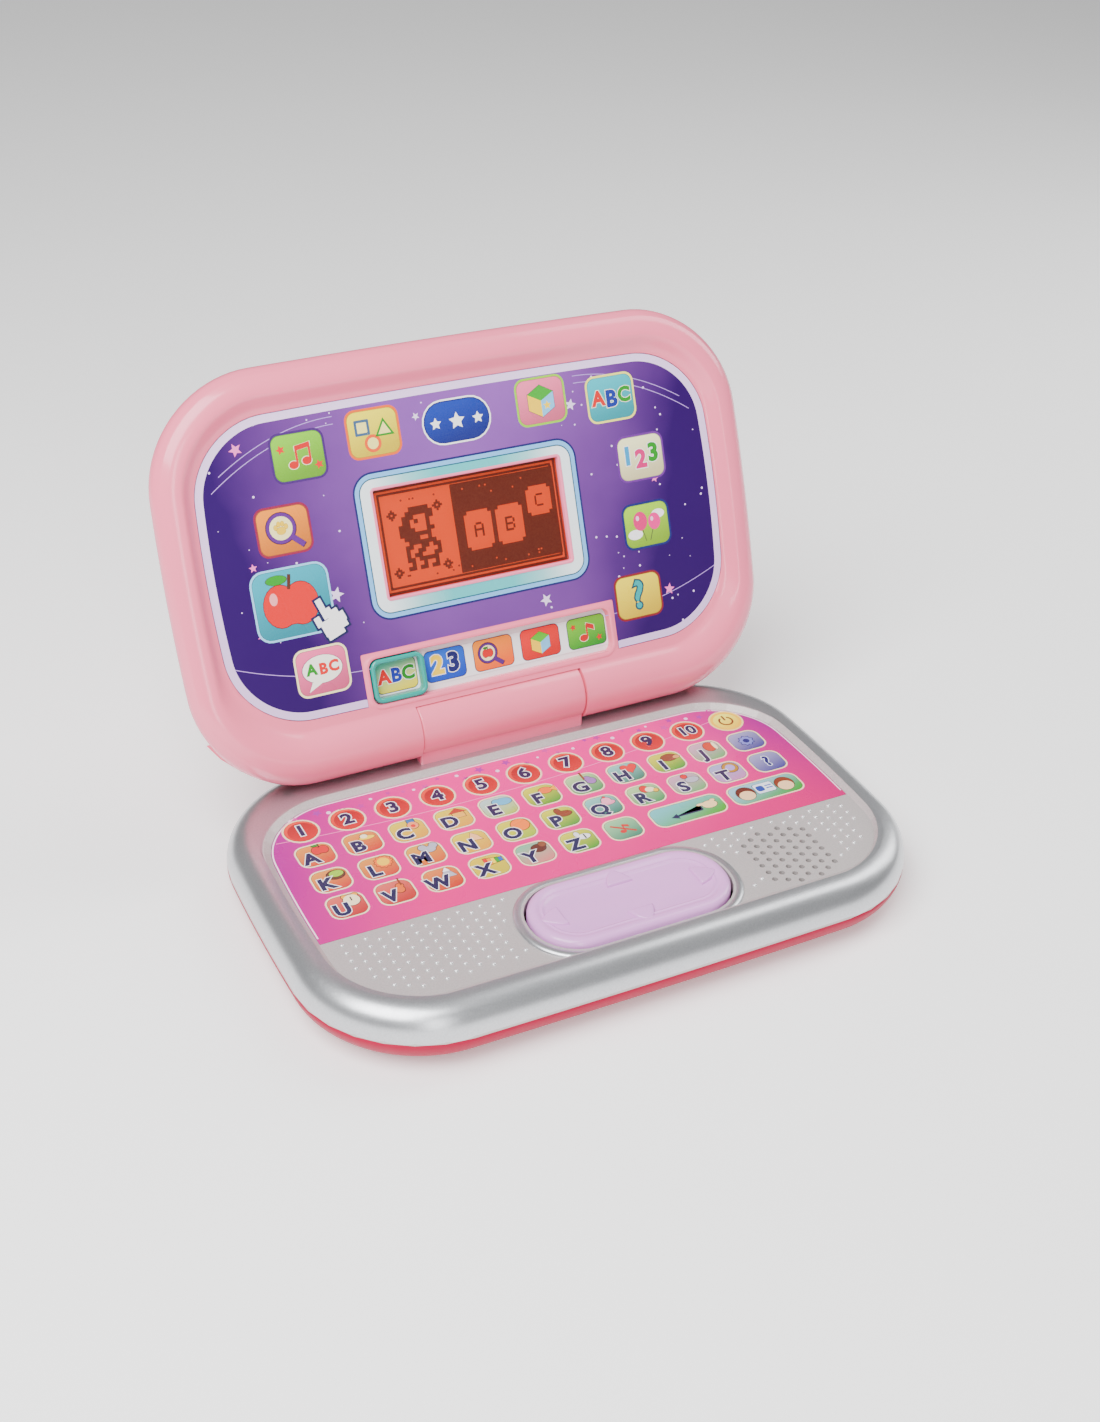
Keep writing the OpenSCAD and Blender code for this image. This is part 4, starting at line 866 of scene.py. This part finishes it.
for x, r in ((-9.5, 2.6), (0, 3.7), (9.5, 2.6)):
    card.shape(star(r, 0.5), tint(250, 250, 255), (at[0] + x, at[1] - 0.2), 0, 2.3)
at = (38.1, 126.1)
icon_tile(at, (244, 140, 170), (170, 215, 70))
for edge, rgb in ((poly((-6, 3.2), (0, 6.6), (6, 3.2), (0, 0)), (90, 180, 80)),
                  (poly((-6, 3.2), (0, 0), (0, -6.8), (-6, -3.4)), (250, 216, 60)),
                  (poly((6, 3.2), (0, 0), (0, -6.8), (6, -3.4)), (150, 205, 235))):
    card.picture([(edge, (0, 0), rgb)], at, 1.0, 2.1, 0.3, (70, 50, 90))
card.shape(star(2.0), tint(250, 220, 60), (at[0] + 2.6, at[1] - 2.2), 0, 2.9)
at = (70.8, 122.3)
icon_tile(at, (60, 190, 200), (244, 236, 150))
for text, place, rgb, size in (("A", (-6, 0.2), (214, 40, 50), 8.5), ("B", (0.2, -0.6), (30, 70, 160), 9.5),
                               ("C", (6.4, 0.4), (60, 160, 60), 8.5)):
    card.outlined(text, size, rgb, beside(at, *place), pale=(255, 250, 230))
at = (81.5, 95.0)
icon_tile(at, (250, 240, 200), (130, 70, 160))
for text, place, rgb in (("1", (-6.4, 1), (40, 170, 210)), ("2", (0, -1), (214, 50, 140)), ("3", (6.2, 1),
        (60, 160, 60))):
    card.outlined(text, 10.5, rgb, beside(at, *place))
at = (80.2, 65.6)
icon_tile(at, (176, 214, 60), (40, 50, 130))
card.picture([(disc(3.6, 2.2), (-6, -3.5), (250, 250, 255)), (disc(3.2, 2.0), (6, 4.0), (250, 250, 255)),
              (strip([(-3, 1), (-1, -7)], 0.3), (0, 0), (90, 30, 90)),
              (strip([(3.6, 0), (1, -7)], 0.3), (0, 0), (90, 30, 90)), (disc(3.4, 4.2), (-3, 2),
                      (222, 50, 140)), (disc(3.0, 3.7), (3.8, 1), (236, 80, 160)),
              (disc(0.8, 1.1), (-4.2, 3.4), (255, 210, 235)), (disc(0.7, 1.0), (2.8, 2.2), (255, 215, 235))],
              at, 1.0, 2.1, 0.0, (60, 30, 90))
at = (71.8, 35.5)
icon_tile(at, (250, 220, 60), (150, 30, 60))
card.outlined("?", 17, (40, 180, 180), at, fat=(0.06, 0.02), pale=(20, 90, 110))
at = (-81.6, 92.9)
icon_tile(at, (244, 160, 50), (160, 40, 90))
card.picture([(strip([(2.6, -2.6), (7.6, -7.0)], 2.2), (0, 0), (120, 60, 150)), (disc(6.2), (-1, 1),
        (120, 60, 150)), (disc(4.8), (-1, 1), (250, 240, 190))],
             at, 1.0, 2.1, 0.35, (70, 30, 80))
card.picture(paw, (at[0] - 1, at[1] + 1.3), 1.9, 3.2, 0.1, (150, 110, 20))
at = (-83.0, 63.8)
icon_tile(at, (50, 176, 190), (170, 215, 240), 31, 27, 5)
card.picture([(disc(5.6, 6.8), (-3.4, 0), (222, 26, 40)), (disc(5.6, 6.8), (3.4, 0), (222, 26, 40)),
              (disc(6.2, 4.8), (0, -1.4), (222, 26, 40)),
              (strip([(0, 5), (0.8, 9.4)], 1.0), (0, 0), (110, 64, 30)), (disc(3.4, 1.5), (-3.6, 8.4),
                      (70, 170, 60)), (disc(1.3, 2.0), (-5.4, 2.6), (255, 180, 180))],
             (at[0] - 0.8, at[1] - 0.8), 1.28, 2.1, 0.3, (110, 10, 30))
for grow, rgb, level in ((0.9, (16, 40, 100), 3.8), (0, (250, 250, 250), 4.2)):
    for w, h, x, y in ((2.6, 9.0, -2.6, 4.6), (2.6, 6.2, 0.2, 1.8), (2.6, 5.8, 3.0, 1.2), (2.2, 4.2, 5.4,
            0.4), (10.6, 6.4, 1.4, -2.4), (2.6, 4.4, -5.0, -0.4), (7.6, 3.0, 1.6, -6.2)):
        card.shape(box(w + 2 * grow, h + 2 * grow, 0.3), tint(*rgb), (at[0] + 14.2 + x, at[1] - 9.8 + y),
                   0.35, level + 0.02 * x)
at = (-75.6, 33.8)
icon_tile(at, (244, 130, 170), (250, 240, 200))
card.picture([(poly((-5, -4), (-7, -8), (-1, -5)), (0, 0), (255, 252, 240)), (disc(8.6, 5.8), (0, 0.8),
        (255, 252, 240))], at, 1.0, 2.1, 0.3, (150, 60, 110))
for text, place, rgb in (("A", (-4.6, 1), (60, 160, 60)), ("B", (0.4, 0.6), (220, 40, 50)), ("C", (5, 1),
        (220, 40, 50))):
    card.words(text, 6.2, tint(*rgb), beside(at, *place), 0, 3.2, 0.05)
card.piece("card_icons", lambda p: on_lid(p + [0, 0, 8.5]), "lid", "printed_card")

# ---------------------------------------------------------------- Screen
# A pink lip frames the clear lens. Behind it the liquid crystal shows a coarse game picture in
# brown on an orange reflector.

def window_rows(grow):
    """The screen opening, drawn out by each amount."""
    grow = np.asarray(grow, float)
    return outline(42 + grow, 57.3 - grow, 101.7 + grow, np.maximum(0.6 + grow, 0.3), corner=8, side=4)


grow = np.array([1.3, 1.3, 1.1, 0.4, 0.15, 0.0, 0.0, 1.0])
lip = raised(window_rows(grow), [7.6, 8.62, 8.8, 8.85, 8.7, 8.4, 6.12, 6.12])
skin("screen_lip", on_lid(lip), moulded("pink_lip", (248, 160, 186), 0.25, 0.35), "lid",
     through=True)
lens = finish_of("clear_lens", (1, 1, 1, 1), 0.05)
tree = lens.node_tree
shader = next(n for n in tree.nodes if n.type == "BSDF_PRINCIPLED")
out = next(n for n in tree.nodes if n.type == "OUTPUT_MATERIAL")
clear = Wire(tree, shader.outputs[0])
gleam = clear.make("Fresnel", None, {"IOR": 1.35}) * 0.8
through_lens = clear.make("MixShader", None, {"Fac": gleam, 1: clear.make("BsdfTransparent"),
                                              2: clear.make("BsdfGlossy", None, {"Roughness": 0.05})})
tree.links.new(through_lens.socket, out.inputs["Surface"])
tree.nodes.remove(shader)
frame["nodes"]["lcd_window"].data.materials[0] = lens


def lit(place):
    """Orange, deeper towards the foot, with the faint grid of the crystal's cells."""
    x, up = across_lid(place)
    cells = (x * 3.3).maths("SINE", x * 3.3) * (up * 3.3).maths("SINE", up * 3.3) * 0.08
    return ((up - 57) * (1 / 60) + cells).clamp().blend(tint(230, 96, 34), tint(244, 118, 50))


frame["nodes"]["lcd_module"].data.materials[0] = finish_of("crystal_orange", lit, lambda p: p.noise(50,
        2) * 0.1 + 0.3)
screen = Print()
dark, glow = tint(124, 52, 8), tint(240, 112, 40)
cell = 0.72


def cells_on(art, place, size, level):
    """Dark cells of a small picture, given as rows of ones and noughts, about its middle."""
    for r, line in enumerate(art):
        for k, bit in enumerate(line):
            if bit == "1":
                spot = (place[0] + (k - len(line) / 2 + 0.5) * size,
                        place[1] + (len(art) / 2 - r - 0.5) * size)
                screen.shape(box(size * 1.02, size * 1.02, 0.05, 2), dark, spot, 0, level)


for grow, rgb in ((0, dark), (1.1, glow), (2.0, dark), (3.0, glow)):
    screen.shape(box(83.6 - 2 * grow, 44 - 2 * grow, 0.3, 3), rgb, (0, 79.5), 0, 1 + grow * 0.3)
screen.shape(box(47.5, 37.5, 0.3, 3), dark, (16.4, 79.5), 0, 2.2)
for text, place, tall in (("A", (3.2, 77.5), 16.5), ("B", (17.6, 77.5), 16.5), ("C", (32.2, 85.0), 12.5)):
    wide = 12.4 if tall > 15 else 11.4
    screen.shape(box(wide, tall, 0.3, 3), glow, place, 0, 2.5)
    for sx in (-1, 1):
        for sy in (-1, 1):
            screen.shape(box(2 * cell, 2 * cell, 0.1, 2), dark, (place[0] + sx * (wide / 2 - cell),
                    place[1] + sy * (tall / 2 - cell)), 0, 2.8)
    art = {"A": ["01110", "10001", "10001", "11111", "10001", "10001", "10001"], "B": ["11110", "10001",
            "10001", "11110", "10001", "10001", "11110"],
           "C": ["01111", "10000", "10000", "10000", "10000", "10000", "01111"]}[text]
    size = 0.86 if tall > 15 else 0.76
    cells_on(art, place, size, 2.8)
flower_bits = ["00100", "01110", "11011", "01110", "00100"]
figure = ["0001111100", "0011111110", "0111000110", "0110100100", "1110000100", "1111000110", "1111111100",
          "0111100100", "0011111110",
          "0110011011", "0100110001", "0101100011", "0110111110", "0010010010", "0110110110"]
for art, place, size in ((figure, (-23.5, 79), 1.75), (flower_bits, (-34.5, 90), 0.9), (flower_bits,
        (-14, 91), 0.9), (flower_bits, (-35, 66), 0.9),
                         (flower_bits, (-13, 66), 0.9), (flower_bits, (35, 94.5), 0.8)):
    cells_on(art, place, size, 2.5)
for n in range(26):
    screen.shape(box(0.7, 0.7, 0.05, 2), glow if n % 2 else dark,
                 (rng.uniform(-3, 38) if n % 2 else rng.uniform(-39, -8),
                  rng.choice([62.8, 64.2, 92.5, 95.5])), 0, 2.9)
screen.piece("screen_picture", lambda p: on_lid(p * [1, 1, 0.5] + [0, 0, 5.12]), "lid", "lcd_glass",
             finish_of("crystal_ink",
                       lambda p: (p.noise(1200, 1) * 0.08).blend(p.make("Attribute",
                               {"attribute_name": "ink"}), (0.9, 0.3, 0.1, 1)),
                       lambda p: p.noise(80, 2) * 0.1 + 0.4))

# ---------------------------------------------------------------- Picture picker
# Below the screen a slot with a raised pink edge holds five picture tiles on a white strip,
# glued to the floor of the pocket, for the slider to frame.

def pocket_rows(grow):
    """The picker's window, drawn out by each amount."""
    grow = np.asarray(grow, float)
    return outline(56 + grow, 13.95 - grow, 33.65 + grow, 4 + grow, corner=10, side=6)


plate = outline(58.75, 12.8, 36.5, 1.0, corner=10, side=6)
grid = np.concatenate([raised(plate, [7.6]), raised(plate, [8.45]), raised(plate * [0.997, 1], [8.62]),
                       raised(pocket_rows([2.0, 1.7, 1.3, 0.7, 0.2, 0.0, 0.0, 0.8]), [8.66, 8.85, 9.05, 9.05,
                               8.85, 8.5, 4.7, 4.5])])
skin("picker_surround", on_lid(grid), pink, "lid", through=True)
frame["nodes"]["picker_picture_strip"].data.materials[0] = gloss_print(
    "strip_white", lambda p: p.noise(30, 2).blend(tint(236, 238, 240), tint(250, 250, 250)))
floor_rows = raised(pocket_rows([0.5, 0.5]), [4.2, 4.58])
skin("pocket_floor", on_lid(floor_rows), gloss_print("pocket_white",
                                                     lambda p: p.noise(30, 2).blend(tint(232, 234, 236),
                                                             tint(248, 248, 248))),
     "lid", first="face", last="face")
tiles = Print()
grounds = [((90, 200, 180), (240, 220, 80)), ((60, 130, 220), (40, 90, 190)), ((250, 170, 60),
        (236, 120, 40)), ((236, 80, 80), (204, 30, 50)), ((150, 210, 90), (60, 160, 70))]
for n, (top, low) in enumerate(grounds):
    at = (-43.6 + 22.4 * n, 24.3)
    tiles.shape(box(18.6, 13.6, 2.4), tint(60, 60, 90), at, 0, 1.0)
    tiles.shape(box(18.0, 13.0, 2.2), fade(top, low, 7), at, 0, 1.4, 3)
x = -43.6
for text, dx, rgb in (("A", -5.4, (214, 40, 50)), ("B", 0, (40, 70, 170)), ("C", 5.4, (60, 150, 60))):
    tiles.outlined(text, 8, rgb, (x + dx, 24.3), 1.8)
for text, dx, rgb in (("2", -3.6, (250, 220, 60)), ("3", 3.8, (20, 40, 120))):
    tiles.outlined(text, 11, rgb, (x + 22.4 + dx, 24.3), 1.8)
tiles.picture([(strip([(2, -2), (6, -5)], 1.8), (0, 0), (110, 60, 140)), (disc(4.4), (-0.6, 0.6),
        (110, 60, 140)), (disc(3.4), (-0.6, 0.6), (250, 240, 200))],
              (x + 44.8 - 2, 24.3), 1.0, 1.8, 0.25)
tiles.picture(apple, (x + 44.8 - 2.6, 24.8), 1.4, 3.0, 0.15)
for edge, rgb in ((poly((-4.4, 2.4), (0, 4.8), (4.4, 2.4), (0, 0)), (120, 200, 80)),
                  (poly((-4.4, 2.4), (0, 0), (0, -5), (-4.4, -2.6)), (250, 216, 60)),
                  (poly((4.4, 2.4), (0, 0), (0, -5), (4.4, -2.6)), (150, 205, 235))):
    tiles.picture([(edge, (0, 0), rgb)], (x + 67.2, 24.3), 1.0, 1.8, 0.25, (110, 20, 40))
tiles.picture(note, (x + 89.6, 24.3), 1.9, 1.8, 0.25, (255, 250, 220))
for dx, dy in ((-6.2, 3), (5.8, -3.4)):
    tiles.shape(star(1.6), tint(214, 40, 60), (x + 89.6 + dx, 24.3 + dy), 0.3, 2.6)
tiles.piece("picker_tiles", lambda p: on_lid(p + [0, 0, 4.92]), "lid", "picture_strip")

# ---------------------------------------------------------------- Slider
# A turquoise ABS frame that a child slides along the tiles; its thin walls are open in the
# middle, with all edges rounded. Two legs through the floor carry a spring wiper.

teal = moulded("turquoise_abs", (44, 176, 166), 0.25, 0.5, 0.1)
low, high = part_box("mode_slider")
slider_x = 500 * (low[0] + high[0])


def slider_rows(inset, r=4.0):
    """The slider's outline, drawn in by each inset."""
    inset = np.asarray(inset, float)
    return outline(12 - inset, 23.8 - 9.35 + inset, 23.8 + 9.35 - inset, np.maximum(r - inset, 1.8),
                   corner=10, side=4)


grid = raised(slider_rows([0.3, 0.0, 0.0, 0.12, 0.45, 0.9, 1.35, 1.75, 2.05, 2.15, 2.15, 2.15]),
              [5.2, 5.5, 8.3, 8.8, 9.12, 9.26, 9.26, 9.1, 8.75, 8.3, 5.4, 5.2])
grid[..., 0] += slider_x
skin("slider_frame", on_lid(grid), teal, "mode_slider", through=True)
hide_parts("mode_slider")

# ---------------------------------------------------------------- Cursor pad
# A lilac ABS rocker in the well. Its sunken face is finely textured, the rim is polished, and
# four arrows are moulded on the ridge round the face.

lilac_abs = moulded("lilac_abs", (226, 178, 226), 0.24, 0.3, 0.05)
lilac_face = finish_of("lilac_texture", lambda p: p.noise(1100, 2).blend(tint(204, 160, 208),
        tint(228, 192, 230)),
                       lambda p: p.noise(500, 2) * 0.15 + 0.38, Normal=grained(0.45, 1500, 1, 0.0005),
                       **{"Coat Weight": 0.25, "Coat Roughness": 0.3})
grow = np.array([-3, 0, 0, 0, -0.15, -0.5, -1.1, -1.9, -2.9, -3.8, -4.6, -5.2, -5.6, -6.0, -6.4, -6.9, -7.5])
rise = np.array([21.3, 21.2, 24.0, 26.8, 27.7, 28.5, 29.1, 29.42, 29.5, 29.36, 29.0, 28.7, 28.75, 28.88, 28.7,
                 28.35, 28.2])
pad = skin("cursor_pad_skin", raised(pad_rows(grow), rise), lilac_abs, "cursor_pad",
           first="face", last="face")
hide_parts("cursor_pad")
share = np.linspace(1, 0.04, 9)
face = pad_rows([-7.3])[0]
middle = np.array([0, grille_y])
face = middle + (face - middle) * share[:, None, None]
skin("cursor_pad_face", np.concatenate([raised(face[:1], [27.6]), raised(face, 27.95 + 0.25 * share ** 2)]),
     lilac_face, "cursor_pad",
     first="face", last="face")


def arrow(side, reach, base, half):
    """Arrow in plan: an apex at the reach and two bowed sides that swell outwards to the base."""
    t = np.linspace(0, 1, 9)[:-1]
    bow = 0.9 * np.sin(math.pi * t)
    up = np.stack([reach + (base - reach) * t + 0.35 * bow, half * t + bow], -1)
    down = np.stack([up[::-1, 0], -up[::-1, 1]], -1)
    flat = np.stack([np.full(6, base), np.linspace(half, -half, 6)], -1)
    p = np.vstack([up, flat, down[:-1]])
    c, s = math.cos(side), math.sin(side)
    return p @ np.array([[c, s], [-s, c]])


for n, (reach, base) in enumerate(((38.4, 29.2), (16.9, 8.2), (38.4, 29.2), (16.9, 8.2))):
    p = arrow(n * math.pi / 2, reach, base, 5.4)
    mid = p.mean(0)
    steps = np.array([1.04, 1, 0.93, 0.84, 0.7])[:, None, None]
    grid = raised(middle + mid + (p - mid) * steps, [27.7, 28.9, 29.36, 29.48, 29.49])
    skin("pad_arrow_%d" % n, grid, lilac_abs, "cursor_pad", first="face", last="face", smooth=50)

# ---------------------------------------------------------------- Parts inside and under
# What shows at the hinge, through the grille and from below: moulded nylon, steel screws, the
# loudspeaker's cone, boards and cells. Each keeps its own shape and takes its maker's finish.

def speckled(name, dark, pale, rough, scale=600, metal=0.0, **more):
    """Two close shades through a fine noise."""
    return finish_of(name, lambda p: p.noise(scale, 3).blend(tint(*dark), tint(*pale)),
                     lambda p: p.noise(scale / 4, 2) * 0.15 + (rough - 0.07),
                     Metallic=metal, Normal=grained(0.1, scale * 2), **more)


nylon = speckled("nylon", (214, 214, 212), (232, 232, 230), 0.45)
black_abs = speckled("black_abs", (34, 34, 38), (52, 52, 56), 0.5)
steel = speckled("zinc_steel", (150, 150, 154), (186, 186, 190), 0.35, 900, 0.9)
board = speckled("board_green", (14, 62, 28), (24, 84, 40), 0.4)
film_clear = speckled("contact_film", (160, 180, 168), (190, 204, 196), 0.4)
rubber_pale = speckled("silicone_pale", (206, 206, 196), (222, 222, 212), 0.6)
foam = speckled("black_foam", (14, 14, 14), (30, 30, 30), 0.9, 300)
cone = speckled("speaker_cone", (24, 24, 26), (44, 44, 46), 0.7)
nickel = speckled("nickel_spring", (176, 170, 160), (204, 198, 188), 0.25, 900, 1.0)
cells = speckled("cell_sleeve", (20, 60, 130), (34, 84, 160), 0.3)
feet = speckled("foot_rubber", (44, 44, 46), (62, 62, 64), 0.8, 300)
sleeve = speckled("wire_sleeve", (18, 18, 20), (34, 34, 36), 0.5)
mirror = speckled("reflector_film", (220, 110, 36), (240, 140, 56), 0.5)
brass = speckled("bronze_wiper", (180, 140, 70), (208, 168, 90), 0.3, 900, 1.0)
for finish, names in (
        (nylon, "hinge_pin_left hinge_pin_right pad_pivot_post"), (black_abs, "hinge_bracket"),
        (steel, "bracket_screws board_screws base_case_screws lid_case_screws lid_board_screws "
                "battery_cover_screw"),
        (board, "keypad_pcb main_pcb lid_pcb picker_contact_board"), (film_clear, "keyboard_membrane"),
        (rubber_pale, "rubber_keypad"), (foam, "speaker_gasket"), (cone, "speaker"),
        (nickel, "battery_contacts"), (cells, "batteries"), (feet, "rubber_feet"),
        (sleeve, "cable_base_run cable_lid_run lcd_contact_strip"), (mirror, "lcd_reflector"),
        (brass, "slider_contact_wiper"), (rose, "battery_cover")):
    for name in names.split():
        frame["nodes"][name].data.materials[0] = finish

# ---------------------------------------------------------------- Table, light and camera
# A plain flat white table, one broad soft light over the front left, a weaker one at the right,
# a narrow one low in front, and an even room that only the camera sees as pale.

floor_mesh = bpy.data.meshes.new("table")
reach = 4.0
floor_mesh.from_pydata([(-reach, -reach, 0), (reach, -reach, 0), (reach, reach, 0), (-reach, reach, 0)], [],
                       [(0, 1, 2, 3)])
table = bpy.data.objects.new("table", floor_mesh)
bpy.context.scene.collection.objects.link(table)
floor_mesh.materials.append(finish_of("table_white", lambda p: p.noise(6, 2).blend((0.93, 0.93, 0.93, 1),
        (0.96, 0.96, 0.96, 1)), 0.75,
                                      **{"Emission Color": (1, 1, 1, 1), "Emission Strength": 0.35}))

world = bpy.data.worlds.new("room")
bpy.context.scene.world = world
world.use_nodes = True
world.node_tree.nodes["Background"].inputs["Color"].default_value = (1.0, 1.0, 1.0, 1)
seen = world.node_tree.nodes.new("ShaderNodeLightPath").outputs["Is Camera Ray"]
glow_on_toy, extra_to_camera = 0.16, 0.8
room = Wire(world.node_tree, seen) * extra_to_camera + glow_on_toy
world.node_tree.links.new(room.socket, world.node_tree.nodes["Background"].inputs["Strength"])


def softbox(name, place, target, wide, tall, power):
    """Area light turned so that it faces a target."""
    data = bpy.data.lights.new(name, "AREA")
    data.shape, data.size, data.size_y, data.energy = "RECTANGLE", wide, tall, power
    lamp = bpy.data.objects.new(name, data)
    bpy.context.scene.collection.objects.link(lamp)
    away = np.array(place, float) - np.array(target, float)
    away /= np.linalg.norm(away)
    right = np.cross([0, 0, 1], away)
    right /= np.linalg.norm(right)
    turn = np.eye(4)
    turn[:3, :3] = np.stack([right, np.cross(away, right), away], 1)
    turn[:3, 3] = place
    lamp.matrix_world = Matrix(turn.tolist())


softbox("key_light", (-0.6, -0.35, 1.1), (0, 0, 0.05), 0.9, 0.9, 36)
softbox("side_light", (0.9, 0.1, 0.8), (0, 0, 0.05), 0.4, 1.2, 9)
softbox("front_light", (-0.35, -1.3, 0.55), (0, 0, 0.1), 0.25, 1.0, 7)

azimuth, elevation, roll = math.radians(-27.5366), math.radians(32.9817), math.radians(2)
back = np.array([math.sin(azimuth) * math.cos(elevation), -math.cos(azimuth) * math.cos(elevation),
                 math.sin(elevation)])
right = np.array([math.cos(azimuth), math.sin(azimuth), 0])
turn = np.stack([right, np.cross(back, right), back])
turn = np.array([[math.cos(roll), math.sin(roll), 0], [-math.sin(roll), math.cos(roll), 0], [0, 0, 1]]) @ turn
place = -turn.T @ np.array([-0.0110497, -0.0265356, -0.77502]) + np.array([0, (hinge_y - 30) / 1000, 0.026])
camera_data = bpy.data.cameras.new("camera")
camera_data.lens, camera_data.sensor_width, camera_data.sensor_fit = 46.18, 36, "AUTO"
camera = bpy.data.objects.new("camera", camera_data)
bpy.context.scene.collection.objects.link(camera)
at = np.eye(4)
at[:3, :3], at[:3, 3] = turn.T, place
camera.matrix_world = Matrix(at.tolist())
bpy.context.scene.camera = camera
